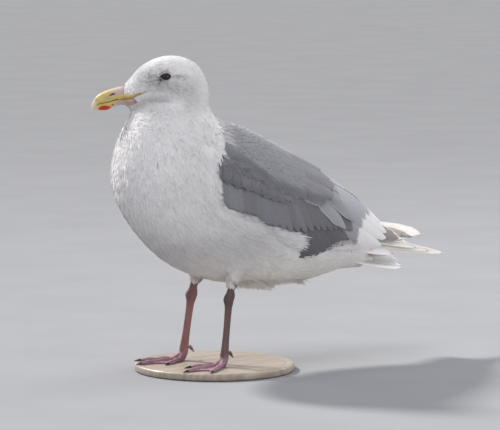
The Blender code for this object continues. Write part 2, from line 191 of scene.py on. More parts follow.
def merged_shell(nodes, voxel=VOXEL, grow=GROW):
    """One even closed surface round some nodes."""
    whole = bmesh.new()
    for node in nodes:
        part = clean_bmesh(node)
        for vert in part.verts:
            vert.co += vert.normal * grow * MM
        mesh = bpy.data.meshes.new("part")
        part.to_mesh(mesh)
        whole.from_mesh(mesh)
        bpy.data.meshes.remove(mesh)
        part.free()
    return evaluated(whole, "REMESH", mode="VOXEL", voxel_size=voxel * MM)


def refined(node, levels):
    """A node's solid after subdivision."""
    return evaluated(clean_bmesh(node), "SUBSURF", levels=levels, render_levels=levels)


NEIGHBOURS = [(i, j, k) for i in (0, -1, 1) for j in (0, -1, 1) for k in (0, -1, 1)]
TRIES = 5  # for each place that a scatter may keep
CLOSENESS = 0.72  # of two scattered places, as a share of their spacing squared


class Surface:
    """A mesh of quads or triangles with smooth normals and fast lookups."""

    def __init__(self, points, faces):
        self.points = points
        self.faces = np.array([f if len(f) == 4 else (*f, f[-1]) for f in faces])
        pairs = np.concatenate([self.faces[:, [i, (i + 1) % 4]] for i in range(4)])
        pairs = np.sort(pairs[pairs[:, 0] != pairs[:, 1]], 1)
        self.edges = np.unique(pairs, axis=0)
        self.update()

    def update(self):
        a, b, c, d = (self.points[self.faces[:, i]] for i in range(4))
        cross = np.cross(c - a, d - b)
        flat = self.faces[:, 2] == self.faces[:, 3]
        cross[flat] = np.cross(b[flat] - a[flat], c[flat] - a[flat])
        self.areas = np.linalg.norm(cross, axis=1) / 2
        normals = np.zeros_like(self.points)
        for i in range(4):
            for axis in range(3):
                normals[:, axis] += np.bincount(self.faces[:, i], cross[:, axis], len(self.points))
        self.normals = unit(normals)
        self.tree = None

    def bvh(self):
        if self.tree is None:
            self.tree = BVHTree.FromPolygons(self.points.tolist(), self.faces.tolist())
        return self.tree

    def spread(self, values):
        """Each point's mean over its neighbours."""
        i, j = self.edges.T
        count = np.bincount(i, minlength=len(values)) + np.bincount(j, minlength=len(values))
        total = np.stack([
            np.bincount(i, values[j, k], len(values)) + np.bincount(j, values[i, k], len(values))
            for k in range(values.shape[1])
        ], 1)
        return total / np.maximum(count, 1)[:, None]

    def smooth(self, rounds):
        """Evens the surface out without shrinking it."""
        for share in (0.6, -0.61) * rounds:
            self.points = self.points + (self.spread(self.points) - self.points) * share
        self.update()

    def swell(self, amount):
        """Moves every point out along its normal."""
        self.points = self.points + self.normals * np.asarray(amount)[..., None]
        self.update()

    def nearest(self, points):
        """The nearest places on the surface, and the smooth normals there."""
        found = [self.bvh().find_nearest(point) for point in points.tolist()]
        places = np.array([place[:] for place, _, _, _ in found])
        corners = self.faces[[face for _, _, face, _ in found]]
        away = np.linalg.norm(self.points[corners] - places[:, None], axis=-1) + 0.05
        return places, unit((self.normals[corners] / away[..., None]).sum(1))

    def cast(self, start, direction):
        return self.bvh().ray_cast(Vector(start), Vector(direction))[0]

    def scatter(self, spacing, keep, seed):
        """Evenly scattered places with a spacing that may vary, as points and normals."""
        rng = np.random.default_rng(seed)
        middles = self.points[self.faces].mean(1)
        spacings = spacing(middles)
        chance = self.areas / spacings**2 * keep(middles)
        chosen = rng.choice(len(self.faces), int(chance.sum() * TRIES), p=chance / chance.sum())
        u, v = rng.random((2, len(chosen), 1))
        a, b, c, d = (self.points[self.faces[chosen, i]] for i in range(4))
        points = (a * (1 - u) + b * u) * (1 - v) + (d * (1 - u) + c * u) * v
        keys = np.floor(points / spacings.max()).astype(int).tolist()
        radii = spacings[chosen] ** 2 * CLOSENESS
        taken, kept = {}, []
        for n, ((x, y, z), (i, j, k)) in enumerate(zip(points.tolist(), keys)):
            near = (place for a, b, c in NEIGHBOURS for place in taken.get((i + a, j + b, k + c), ()))
            if all((p - x) ** 2 + (q - y) ** 2 + (r - z) ** 2 >= radii[n] for p, q, r in near):
                taken.setdefault((i, j, k), []).append((x, y, z))
                kept.append(n)
        return points[kept], self.normals[self.faces[chosen[kept]]].mean(1)


# ---------------------------------------------------------------- pieces


def new_piece(name, points, faces, material, colours=None, tips=None, bake=None, vane=None, normals=None):
    """A finished piece from arrays of points, faces, point colours and maps."""
    mesh = bpy.data.meshes.new(name)
    mesh.vertices.add(len(points))
    mesh.vertices.foreach_set("co", (points * MM + ORIGIN).ravel())
    mesh.loops.add(faces.size)
    mesh.loops.foreach_set("vertex_index", faces.ravel())
    mesh.polygons.add(len(faces))
    mesh.polygons.foreach_set("loop_start", np.arange(len(faces)) * faces.shape[1])
    mesh.update(calc_edges=True)
    mesh.validate()
    mesh.shade_smooth()
    for title, values in (("Tint", colours), ("Tip", tips)):
        if values is not None:
            layer = mesh.color_attributes.new(title, "FLOAT_COLOR", "POINT")
            if values.shape[1] == 3:
                values = np.concatenate([values, np.ones((len(values), 1))], 1)
            layer.data.foreach_set("color", values.astype(np.float32).ravel())
    for title, values in (("OFBake", bake), ("Vane", vane)):
        if values is not None:
            mesh.uv_layers.new(name=title)
            corners = np.empty(len(mesh.loops), int)
            mesh.loops.foreach_get("vertex_index", corners)
            mesh.uv_layers[title].data.foreach_set("uv", values[corners].astype(np.float32).ravel())
    if normals is not None:
        mesh.normals_split_custom_set_from_vertices(normals.astype(np.float32))
    mesh.materials.append(material)
    obj = linked(name, mesh)
    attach(obj, "root")
    return obj


def grid_faces(rows, columns, closed=False):
    """Quads over a grid of points, row after row."""
    row, column = np.meshgrid(np.arange(rows - 1), np.arange(columns - (not closed)), indexing="ij")
    a, b = row * columns + column, row * columns + (column + 1) % columns
    return np.stack([a, b, b + columns, a + columns], -1).reshape(-1, 4)


def repeated(faces, count, size):
    """The same faces for many like groups of points."""
    return (np.arange(count)[:, None, None] * size + faces[None]).reshape(-1, faces.shape[1])


def alike(colour, count):
    """One colour for a number of points or feathers."""
    return np.repeat(colour[None], count, 0)


# ---------------------------------------------------------------- materials


class Nodes:
    """A short way to write a material's nodes."""

    def __init__(self, name):
        self.material = bpy.data.materials.new(name)
        self.material.use_nodes = True
        self.tree = self.material.node_tree
        self.shader = self.tree.nodes["Principled BSDF"]

    def put(self, socket, value):
        if isinstance(value, bpy.types.NodeSocket):
            self.tree.links.new(value, socket)
        else:
            socket.default_value = value

    def add(self, kind, inputs=(), **settings):
        node = self.tree.nodes.new("ShaderNode" + kind)
        for name, value in settings.items():
            setattr(node, name, value)
        for key, value in dict(inputs).items():
            self.put(node.inputs[key], value)
        return node

    def set(self, **inputs):
        for name, value in inputs.items():
            self.put(self.shader.inputs[name.replace("_", " ")], value)

    def math(self, operation, *values):
        return self.add("Math", dict(enumerate(values)), operation=operation).outputs[0]

    def place(self):
        return self.add("TexCoord").outputs["Object"]

    def noise(self, scale, detail, vector=None):
        inputs = {"Scale": scale, "Detail": detail, "Roughness": 0.55, "Vector": vector or self.place()}
        return self.add("TexNoise", inputs).outputs[0]

    def between(self, value, low, high, out_low=0.0, out_high=1.0, kind="SMOOTHSTEP"):
        inputs = {"Value": value, "From Min": low, "From Max": high, "To Min": out_low, "To Max": out_high}
        return self.add("MapRange", inputs, interpolation_type=kind).outputs[0]

    def mix(self, factor, first, second, blend_type="MIX"):
        node = self.add("Mix", data_type="RGBA", blend_type=blend_type)
        sockets = [s for s in node.inputs if s.type == "RGBA"]
        for socket, value in zip((node.inputs[0], *sockets), (factor, first, second)):
            self.put(socket, value)
        return next(s for s in node.outputs if s.type == "RGBA")

    def tint(self):
        """The point's own colour."""
        return self.add("Attribute", attribute_name="Tint").outputs["Color"]

    def times(self, colour, other):
        return self.mix(1.0, colour, other, "MULTIPLY")

    def shaded(self, colour, shade):
        """A colour times one value."""
        return self.times(colour, self.add("CombineColor", {0: shade, 1: shade, 2: shade}).outputs[0])

    def rough(self, scale, detail, low, high):
        self.set(Roughness=self.between(self.noise(scale, detail), 0.3, 0.7, low, high))

    def bump(self, height, strength, distance):
        inputs = {"Height": height, "Strength": strength, "Distance": distance * MM}
        self.set(Normal=self.add("Bump", inputs).outputs[0])


def plumage_material(name, grain=900.0):
    """Soft small feathers: the point's own colour with fine flecks and faint larger smudges."""
    n = Nodes(name)
    fleck = n.between(n.noise(grain, 3), 0.3, 0.75, 0.90, 1.06)
    smudge = n.between(n.noise(55, 3), 0.35, 0.75, 1.0, 0.93)
    n.set(Base_Color=n.shaded(n.tint(), n.math("MULTIPLY", fleck, smudge)))
    n.rough(400, 2, 0.82, 0.95)
    n.set(Sheen_Weight=0.15, Sheen_Roughness=0.5, Specular_IOR_Level=0.25)
    n.bump(n.noise(grain * 1.6, 2), 0.25, 0.25)
    return n.material


def vane_material(name, through=0.0):
    """Larger feathers: barbs off a shaft, a paler edge, and the tip's own colour; thin ones let light through."""
    n = Nodes(name)
    if through:
        n.set(Subsurface_Weight=through, Subsurface_Scale=0.004, Subsurface_Radius=(1.0, 0.95, 0.9))
    tip = n.add("Attribute", attribute_name="Tip")
    split = n.add("SeparateXYZ", {0: n.add("UVMap", uv_map="Vane").outputs[0]})
    across = n.math("ABSOLUTE", n.math("MULTIPLY_ADD", split.outputs[0], 2.0, -1.0))
    along = split.outputs[1]
    ragged = n.math("MULTIPLY_ADD", n.noise(260, 3), 0.10, -0.05)
    slant = n.math("MULTIPLY_ADD", across, 0.55, n.math("MULTIPLY", along, 9.0))
    barbs = n.add("TexWave", {
        "Vector": n.add("CombineXYZ", {0: slant}).outputs[0],
        "Scale": 3.4, "Distortion": 1.2, "Detail": 2.0, "Detail Scale": 3.0,
    }).outputs[1]
    edge = n.between(n.math("ADD", across, ragged), 0.74, 1.0)
    body = n.mix(n.math("MULTIPLY", edge, 0.34), n.tint(), (0.62, 0.61, 0.62, 1))
    reach = n.math("MULTIPLY_ADD", n.math("MULTIPLY", across, across), 0.04, n.math("ADD", along, ragged))
    from_tip = n.math("SUBTRACT", reach, tip.outputs["Alpha"])
    body = n.mix(n.between(from_tip, -0.025, 0.03), body, tip.outputs["Color"])
    fleck = n.between(n.noise(500, 3), 0.3, 0.7, 0.93, 1.05)
    shade = n.math("MULTIPLY", fleck, n.between(barbs, 0.0, 1.0, 0.955, 1.02, "LINEAR"))
    n.set(Base_Color=n.shaded(body, shade))
    n.rough(300, 2, 0.62, 0.80)
    n.set(Sheen_Weight=0.1, Sheen_Roughness=0.5, Specular_IOR_Level=0.3)
    shaft = n.between(across, 0.0, 0.09, 1.0, 0.0)
    n.bump(n.math("MULTIPLY_ADD", shaft, 0.8, n.math("MULTIPLY", barbs, 0.35)), 0.5, 0.18)
    return n.material


def horn_material(name, rough_low, rough_high, scale=220.0, strength=0.25):
    """Bill, lid or claw: the point's own colour, faint streaks along it and a waxy gloss."""
    n = Nodes(name)
    tint = n.tint()
    stain = n.between(n.noise(scale * 0.6, 4), 0.42, 0.75, 0.0, 0.6)
    n.set(Base_Color=n.mix(stain, tint, n.times(tint, (0.72, 0.66, 0.60, 1))), Specular_IOR_Level=0.5)
    n.rough(scale * 2, 3, rough_low, rough_high)
    n.bump(n.noise(scale * 3, 4), strength, 0.12)
    return n.material


def leg_material(name):
    """Scaly leg and web skin: small plates with darker joints between them."""
    n = Nodes(name)
    tint = n.tint()
    cells = n.add("TexVoronoi", {"Scale": 1050.0, "Vector": n.place()}, feature="DISTANCE_TO_EDGE")
    plate = n.between(cells.outputs[0], 0.02, 0.2)
    colour = n.mix(plate, n.times(tint, (0.72, 0.64, 0.66, 1)), tint)
    stain = n.between(n.noise(120, 4), 0.45, 0.7, 0.0, 0.45)
    colour = n.mix(stain, colour, n.times(colour, (0.62, 0.55, 0.62, 1)))
    n.set(Base_Color=colour, Specular_IOR_Level=0.45)
    n.rough(500, 3, 0.42, 0.62)
    n.bump(n.math("ADD", n.math("MULTIPLY", plate, 0.7), n.noise(900, 3)), 0.55, 0.22)
    return n.material


def eye_material():
    """Brown iris round a black pupil, under a clear gloss."""
    n = Nodes("eye_gloss")
    fibre = n.between(n.noise(900, 4), 0.3, 0.7, 0.6, 1.5)
    n.set(Base_Color=n.shaded(n.tint(), fibre), Roughness=0.12)
    n.set(Coat_Weight=0.35, Coat_Roughness=0.03, Specular_IOR_Level=0.25)
    return n.material


def wood_material():
    """Waxed grey-brown wood with rings stretched along the grain."""
    n = Nodes("waxed_wood")
    stretch = [n.add("Mapping", {"Vector": n.place(), "Scale": scale}).outputs[0]
               for scale in ((14.0, 150.0, 60.0), (4.0, 70.0, 70.0))]
    warp = n.noise(1.0, 5, stretch[0])
    rings = n.add("TexWave", {
        "Vector": stretch[1], "Scale": 0.8, "Distortion": 6.0, "Detail": 3.0, "Detail Scale": 0.9,
    }, bands_direction="Y").outputs[1]
    colour = n.mix(n.between(rings, 0.2, 0.9), (0.36, 0.30, 0.245, 1), (0.42, 0.355, 0.29, 1))
    colour = n.mix(n.between(warp, 0.35, 0.7, 0.0, 0.5), colour, (0.21, 0.165, 0.125, 1))
    n.set(Base_Color=colour, Roughness=n.between(warp, 0.3, 0.7, 0.36, 0.55))
    n.set(Coat_Weight=0.15, Coat_Roughness=0.3)
    n.bump(warp, 0.2, 0.15)
    return n.material


def floor_material():
    n = Nodes("studio_paper")
    n.set(Base_Color=n.mix(n.between(n.noise(6, 3), 0.3, 0.7), (0.275, 0.28, 0.295, 1), (0.29, 0.295, 0.31, 1)))
    n.set(Roughness=0.95, Specular_IOR_Level=0.1)
    return n.material


# ---------------------------------------------------------------- the body's surfaces


FLESH = ("head", "neck", "trunk", "thigh_left", "thigh_right")

outer = Surface(*merged_shell(FLESH + ("wing_left", "wing_right", "tail")))
before = outer.points
outer.smooth(9)
# smoothing fills the crease between the nape and the mantle: it is drawn in again
filled = ((outer.points - before) * outer.normals).sum(1)
at_nape = step(262, 282, outer.points[:, 2]) * step(-70, -45, outer.points[:, 0])
outer.swell(-np.maximum(filled - 0.2, 0) * 1.5 * at_nape)
outer.smooth(2)
skin = Surface(*merged_shell(FLESH, 2.0))
skin.smooth(30)

# The lie of the coat: places and the way that feathers point there.
HEAD_BACK = (0.788, -0.616)
LIE = (
    ((-78, 41, 325), (*HEAD_BACK, 0.15)),
    ((-58, 26, 356), (*HEAD_BACK, 0.25)),
    ((-36, 9, 365), (*HEAD_BACK, -0.2)),
    ((-14, -10, 352), (0.6, -0.47, -0.75)),
    ((-62, 14, 335), (*HEAD_BACK, -0.1)),
    ((-46, 30, 335), (*HEAD_BACK, -0.1)),
    ((-40, 2, 322), (0.66, -0.5, -0.45)),
    ((-66, 44, 306), (0.76, -0.6, -0.25)),
    ((-46, 38, 300), (0.5, -0.35, -0.8)),
    ((-8, -14, 325), (0.1, -0.1, -1)),
    ((-45, 5, 285), (0, 0, -1)),
    ((0, 0, 300), (0.5, 0, -0.8)),
    ((-108, 0, 230), (0.1, 0, -1)),
    *(((-70, y, 215), (0.3, y / 450, -0.95)) for y in (45, -45)),
    ((-90, 0, 160), (0.62, 0, -0.78)),
    *(((-40, y, 175), (0.75, 0, -0.62)) for y in (55, -55)),
    ((-20, 0, 105), (1, 0, -0.15)),
    *(((30, y, 135), (0.95, 0, -0.22)) for y in (50, -50)),
    ((40, 0, 280), (0.9, 0, -0.42)),
    ((110, 0, 245), (0.9, 0, -0.42)),
    ((130, 0, 110), (0.99, 0, 0.02)),
    ((210, 0, 130), (0.98, 0, -0.12)),
    *(((17, y, 100), (-0.05, 0, -1)) for y in (-LEG_SIDE, LEG_SIDE)),
)
LIE_REACH = 26.0
LIE_PLACES = np.array([place for place, _ in LIE], float)
LIE_WAYS = unit(np.array([way for _, way in LIE], float))


def lie_of(points, normals):
    """The way that feathers point at some places, along the surface."""
    away = ((points[:, None] - LIE_PLACES[None]) ** 2).sum(-1)
    away -= away.min(1, keepdims=True)
    ways = np.exp(-away / (2 * LIE_REACH**2)) @ LIE_WAYS
    return unit(ways - normals * (ways * normals).sum(-1, keepdims=True))


def behind_bill(points):
    """How far places are behind the bill's base, in the straight head."""
    return straight(points)[:, 0] - BILL_BASE


def on_head(points):
    """1 on the head and 0 from the lower neck on."""
    return step(285, 312, points[:, 2])


def coat_depth(points):
    """How deep the coat lies over the skin: thin on the face, deeper over the body."""
    head = on_head(points)
    face = 0.25 + 0.55 * step(0, 40, behind_bill(points))
    return face * head + 1.7 * (1 - head)


# An unwrap of the body along its own length and round it, for the bake.
SPINE = np.array([
    (-80, 42, 320), (-50, 20, 332), (-38, 6, 300), (-42, 0, 260), (-20, 0, 215), (30, 0, 190),
    (110, 0, 165), (200, 0, 142), (300, 0, 110), (366, 0, 105),
], float)
SPINE_AT = np.concatenate([[0], np.cumsum(np.linalg.norm(np.diff(SPINE, axis=0), axis=1))])


def unwrapped(points):
    """Each place's share of the way along the spine and round it."""
    best = np.full(len(points), np.inf)
    along, foot = np.zeros(len(points)), np.zeros((len(points), 3))
    for a, b, start in zip(SPINE, SPINE[1:], SPINE_AT):
        share = np.clip(((points - a) @ (b - a)) / ((b - a) @ (b - a)), 0, 1)
        place = a + share[:, None] * (b - a)
        away = np.linalg.norm(points - place, axis=1)
        closer = away < best
        best[closer] = away[closer]
        along[closer] = start + share[closer] * np.linalg.norm(b - a)
        foot[closer] = place[closer]
    out = points - foot
    u = 0.02 + 0.96 * along / SPINE_AT[-1]
    return np.stack([u, 0.5 + 0.48 * np.arctan2(out[:, 1], out[:, 2]) / math.pi], 1)


# ---------------------------------------------------------------- plumage colours and painted shade

# The grey saddle on each side, as places seen from the side: its edge on the breast and flank from the
# nape back, then the wing's lower edge.
NAPE_EDGE = ((30, 313), (8, 304), (-6, 291))
FLANK_EDGE = np.array([
    (-12, 278), (-14, 264), (-20, 254), (-28, 247), (-28, 236), (-27, 222), (-27, 210), (-23, 199), (-14, 190.5),
    (2, 185), (20, 179), (32, 172.5), (45, 166.5), (67, 159.5), (80, 155.5), (90, 153.5), (96, 149), (96.5, 142),
    (92, 132), (97, 124),
], float)
WING_EDGE = (
    (106, 121), (123, 123.5), (138, 128.5), (150, 133), (164, 135), (178, 134), (193, 131), (207, 127.5),
    (230, 124), (258, 118), (290, 116),
)
SADDLE = np.concatenate([NAPE_EDGE, FLANK_EDGE, WING_EDGE, [(300, 330), (30, 345)]])
WING_LOW = np.concatenate([FLANK_EDGE[6:16], WING_EDGE])  # the lowest that the wing's feathers reach
SADDLE_END = 262


def edge_distance(points, loop=SADDLE, closed=True):
    """How far places are inside the grey saddle, seen from the side, and less than 0 outside it."""
    flat = points[:, [0, 2]]
    ends = np.roll(loop, -1, 0) if closed else loop[1:]
    away = np.full(len(flat), np.inf)
    inside = np.zeros(len(flat), bool)
    for a, b in zip(loop, ends):
        share = np.clip((flat - a) @ (b - a) / ((b - a) @ (b - a)), 0, 1)
        away = np.minimum(away, np.linalg.norm(flat - a - share[:, None] * (b - a), axis=1))
        crosses = (a[1] > flat[:, 1]) != (b[1] > flat[:, 1])
        if a[1] != b[1]:
            inside ^= crosses & (flat[:, 0] < a[0] + (b[0] - a[0]) * (flat[:, 1] - a[1]) / (b[1] - a[1]))
    return np.where(inside, away, -away) if closed else away


def from_flank(points):
    """How far places are from the edge of the breast and flank, on either side of it."""
    return edge_distance(points, FLANK_EDGE, closed=False)


def in_saddle(points, margin=0.0):
    """How far inside the grey saddle places are, about 1 a few millimetres inside."""
    return np.where(points[:, 0] > SADDLE_END, 0, step(-2, 2, edge_distance(points) + margin))


WHITE = linear(228, 226, 227)
CREAM = linear(232, 226, 216)
GREY = linear(139, 139, 145)

MOUTH = (
    (10, 325.2), (13, 325.0), (22.4, 324.4), (32, 320.3), (38, 316.9), (44, 315.9), (54, 314.9), (64, 312.9),
    (72, 310.9), (78, 308.6), (80, 307.4),
)


def gape_line(u):
    """The mouth line's height in the straight head, at distances forward along the mouth."""
    return line(MOUTH, u)


def at_mouth(points):
    """Places in the straight head, how far forward along the mouth they are and how high over its line."""
    p = straight(points)
    u = MOUTH_FROM - p[:, 0]
    return p, u, p[:, 2] - gape_line(u)


def freckles(points):
    """How finely freckled with grey the lores and cheeks are."""
    p = straight(points)
    x, z = p[:, 0] - EYE_X, p[:, 2] - EYE_Z
    return on_head(points) * np.maximum(blob(x, -15, 20, z, -2, 13), 0.55 * blob(x, 6, 24, z, -12, 14))


def plumage_and_shade(points):
    """The plumage's colour at places on the body, for skin and coat alike, with painted shade on the face, the brow,
    the throat and low on the breast.
    """
    p, _, above = at_mouth(points)
    x, z = p[:, 0] - EYE_X, p[:, 2] - EYE_Z
    head = on_head(points)
    dusky_and_shade = (
        0.27 * blob(x, -13, 14, z, -6, 9)  # lore: dusky feathering and painted shade
        + 0.24 * blob(x, 5, 20, z, -12, 12)  # under the eye: dusky feathering and painted shade
        + 0.48 * blob(x, 13, 9, z, 1.3, 1.6)  # behind it
        + 0.9 * blob(x, -9, 4.2, z + 2.0 - 0.22 * (x + 9), 0, 2.0)  # its front corner
        + 0.17 * blob(x, -18, 13, above, -6, 6)  # painted shade in the crease under the cheek, below the mouth
        + 0.12 * blob(x, -32, 16, z, 4, 13)  # painted shade on the brow
        + 0.21 * blob(x, -18, 24, z, -41, 11)  # throat: painted shade under the jaw, on dusky feathering
        + 0.20 * blob(x, 27, 13, z, -22, 18)  # nape
    )
    colour = alike(WHITE, len(points)) * (1 - head * np.minimum(dusky_and_shade, 0.85))[:, None]
    colour = blend(colour, CREAM, step(150, 95, points[:, 2]) * (1 - head) * 0.5)
    # painted shade: the white is darker low on the breast and on the belly, towards the front
    belly = np.exp(-((points[:, 2] - 146) / 26) ** 2) * step(90, 20, points[:, 0]) * (1 - head)
    return blend(colour * (1 - 0.23 * belly)[:, None], GREY, in_saddle(points))


# ---------------------------------------------------------------- the skin


def cheek_form(points):
    """How far the cheek swells below the mouth line, and is creased along it and under the swelling."""
    p, u, above = at_mouth(points)

    def fold(below, wide, *ends):
        return np.exp(-((above + below) / wide) ** 2) * step(*ends[:2], u) * step(*ends[2:], u)

    form = fold(5.5, 3.8, -14, 4, 44, 30) * 1.5 - fold(0, 1.6, 8, 16, 52, 46) * 0.9
    return (form - fold(11.5, 1.9, -12, 2, 40, 28) * 1.6) * (np.abs(p[:, 1]) > 6) * (p[:, 2] > 296)


def build_skin():
    skin.swell(-coat_depth(skin.points))
    skin.smooth(3)
    skin.swell(cheek_form(skin.points))
    piece = new_piece(
        "skin", skin.points, skin.faces, plumage_material("skin_down", 700),
        colours=plumage_and_shade(skin.points) * 0.92, bake=unwrapped(skin.points),
    )
    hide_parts(*FLESH)


# ---------------------------------------------------------------- soft small feathers

PATCH = 0.003  # of one tuft on the bake's map
TUFT_SHARES = np.array([0.0, 0.38, 0.74, 1.0])  # of a blade's length, at which it has points
TUFT_WIDTHS = np.array([0.75, 1.0, 0.72])  # there, up to the tip
TUFT_FACES = np.array([[0, 3, 1], [0, 2, 3], [2, 5, 3], [2, 4, 5], [4, 6, 5]])
BLADE_POINTS = 7
BLADE_FILL = 0.74  # of a blade's own share of its tuft's width
LYING_SPLAY, HANGING_SPLAY = 0.05, 0.07  # how far blades part towards their tips, as shares of their length
ROOT_SHADE = 0.95
PIECE_LIMIT = 190000  # triangles


def blade_offsets(rng, count, blades, stray):
    """Where each blade stands across its tuft, from -1 to 1."""
    return ((np.arange(blades) + 0.5) / blades * 2 - 1)[None] + rng.normal(0, stray, (count, blades))


def put_blades(result, n, centre, across, width):
    """One level of every blade's points: a pair beside its middle, or the tip."""
    if n == len(TUFT_WIDTHS):
        result[:, :, 2 * n] = centre
    else:
        half = (width / result.shape[1] * BLADE_FILL * TUFT_WIDTHS[n])[:, None, None] * across[:, None]
        result[:, :, 2 * n] = centre - half
        result[:, :, 2 * n + 1] = centre + half


def tufts(points, normals, length, width, blades, lift, sink, base, seed):
    """Soft feathers laid on the coat's surface, each of a few narrow blades, as points and soft normals."""
    rng = np.random.default_rng(seed)
    count = len(points)
    ways = lie_of(points, normals)
    ways = unit(ways + np.cross(normals, ways) * rng.normal(0, 0.10, (count, 1)))
    length = length * rng.uniform(0.82, 1.18, count)
    lean = rng.normal(0, 1, (2, count, blades, 1)) * np.array([0.09, 0.05])[:, None, None, None]
    offsets = blade_offsets(rng, count, blades, 0.16)
    reach = rng.uniform(0.78, 1.08, (count, blades)) - 0.14 * offsets**2
    rise = rng.normal(0, 0.12, (count, blades)) * lift[:, None]
    result, soft = np.empty((2, count, blades, BLADE_POINTS, 3))
    for n, (share, level) in enumerate(zip(TUFT_SHARES, (-sink, 0.25 * lift, 0.6 * lift, lift))):
        places, outward = outer.nearest(points + ways * (length * share)[:, None]) if share else (points, normals)
        along = unit(ways - outward * (ways * outward).sum(1, keepdims=True))
        across = np.cross(outward, along)
        height = (level + base * min(share * 3, 1))[:, None] + rise * share - 0.10 * width[:, None] * offsets**2
        centre = places[:, None] + outward[:, None] * height[..., None]
        centre = centre + along[:, None] * ((reach - 1) * share * length[:, None])[..., None]
        spread = offsets * (width[:, None] * 0.5 + LYING_SPLAY * length[:, None] * share**1.5)
        put_blades(result, n, centre + across[:, None] * spread[..., None], across, width)
        normal = unit(outward[:, None] + across[:, None] * lean[0] + along[:, None] * lean[1])
        soft[:, :, 2 * n:2 * n + 2] = normal[:, :, None]
    return result, soft


def hanging(roots, ways, outward, length, width, blades, seed):
    """Tufts that hang clear of the body along their own way, as points and soft normals."""
    rng = np.random.default_rng(seed)
    count = len(roots)
    across = unit(np.cross(outward, ways))
    offsets = blade_offsets(rng, count, blades, 0.2)
    reach = rng.uniform(0.7, 1.1, (count, blades))
    drift = rng.normal(0, 0.05, (count, blades))
    result = np.empty((count, blades, BLADE_POINTS, 3))
    for n, share in enumerate(TUFT_SHARES):
        centre = roots[:, None] + ways[:, None] * (reach * share * length[:, None])[..., None]
        spread = offsets * (width[:, None] * 0.5 + HANGING_SPLAY * length[:, None] * share**1.5)
        centre = centre + across[:, None] * spread[..., None]
        centre = centre + outward[:, None] * (drift * share * length[:, None] + 0.3)[..., None]
        put_blades(result, n, centre, across, width)
    return result, np.broadcast_to(outward[:, None, None], result.shape)


def tuft_arrays(tuft, soft, roots, colours, seed):
    """Flat arrays of tufts' points, faces, colours, bake map and soft normals."""
    rng = np.random.default_rng(seed)
    count, blades = tuft.shape[:2]
    shares = np.repeat(TUFT_SHARES, 2)[:BLADE_POINTS]
    shade = (ROOT_SHADE + (1 - ROOT_SHADE) * shares[None, None]) * rng.uniform(0.95, 1.04, (count, blades, 1))
    tint = colours[:, None, None] * shade[..., None]
    across = (np.arange(blades)[:, None] + np.array([0, 1, 0, 1, 0, 1, 0.5])[None]) / blades
    patch = np.stack([across, np.broadcast_to(shares, across.shape)], -1) * PATCH
    bake = unwrapped(roots)[:, None, None] + patch[None]
    faces = repeated(TUFT_FACES, count * blades, BLADE_POINTS)
    return tuft.reshape(-1, 3), faces, np.clip(tint, 0, 1).reshape(-1, 3), bake.reshape(-1, 2), soft.reshape(-1, 3)


def coat_pieces(name, arrays, material):
    """One or more pieces under the size limit from tufts' arrays."""
    points, faces, colours, bake, soft = arrays
    blades, per_blade = len(points) // BLADE_POINTS, len(TUFT_FACES)
    chunk = PIECE_LIMIT // per_blade
    for n, start in enumerate(range(0, blades, chunk)):
        stop = min(start + chunk, blades)
        rows = slice(start * BLADE_POINTS, stop * BLADE_POINTS)
        new_piece(
            f"{name}_{n + 1}", points[rows], faces[start * per_blade:stop * per_blade] - start * BLADE_POINTS,
            material, colours=colours[rows], bake=bake[rows], normals=soft[rows],
        )


LOWER_BARE = 7.8  # how deep the lower mandible's bare skin is


def upper_bare_height(u):
    """How far the bare edge of the upper mandible reaches over the mouth line."""
    return line(((12, 0.25), (18, 0.6), (25, 1.3), (32, 3.2), (40, 5.2), (49, 6.6)), u)


def lower_bare_top(u):
    """The upper edge of the lower mandible's bare skin, from the mouth line."""
    return line(((32, -7.2), (36.5, -0.1)), u)


def clear_of_face(points):
    """0 over the eyes, the bill and its bare edges, and 1 elsewhere."""
    p, u, above = at_mouth(points)
    eye = ((p[:, 0] - EYE_X) / 5.7) ** 2 + ((p[:, 2] - EYE_Z) / 4.9) ** 2 <= 1
    on_side = (np.abs(p[:, 1]) > 4) & (p[:, 2] > 300)
    upper = (u > 13) & (above > -0.4) & (above < upper_bare_height(u)) & on_side
    lower = (u > 32.3) & (above <= lower_bare_top(u)) & (above > -LOWER_BARE) & on_side
    bill = (u > 48.2) & (p[:, 2] > 300)
    return np.where(eye | upper | lower | bill, 0.0, 1.0)


def white_spacing(points):
    """How far apart the white feathers stand: closer on the face, the neck, the legs and by the wing."""
    head = on_head(points)
    face = step(55, 5, behind_bill(points)) * head
    legs = step(112, 96, points[:, 2]) * (np.abs(points[:, 1]) > 20) * (np.abs(points[:, 0] - 17) < 22)
    spacing = 3.5 - 1.0 * (step(240, 300, points[:, 2]) * (1 - head))
    spacing = spacing * (1 - head) + head * (2.0 - 0.65 * face)
    spacing = spacing * (1 - 0.28 * np.exp(-(from_flank(points) / 6) ** 2))
    return spacing * (1 - 0.35 * legs)


# How far feathers stand over the wing, by how far they are from the flank's edge.
FLANK_SWELL = ((-3, -2.0), (-1.2, 0.2), (0, 1.5), (2.5, 2.5), (7, 2.7), (14, 1.7), (22, 0.5), (30, -1.5))


def flank_swell(points):
    """How far the flank's and breast's feathers stand over the wing along its edge."""
    x, outside = points[:, 0], edge_distance(points)
    swell = np.maximum(line(FLANK_SWELL, from_flank(points)), 0)
    swell = np.where((outside < 0) & (np.abs(points[:, 1]) > 18) & (x < 112), swell, 0)
    return swell + 1.5 * step(145, 165, x) * step(228, 214, x) * step(-11, -4, outside)


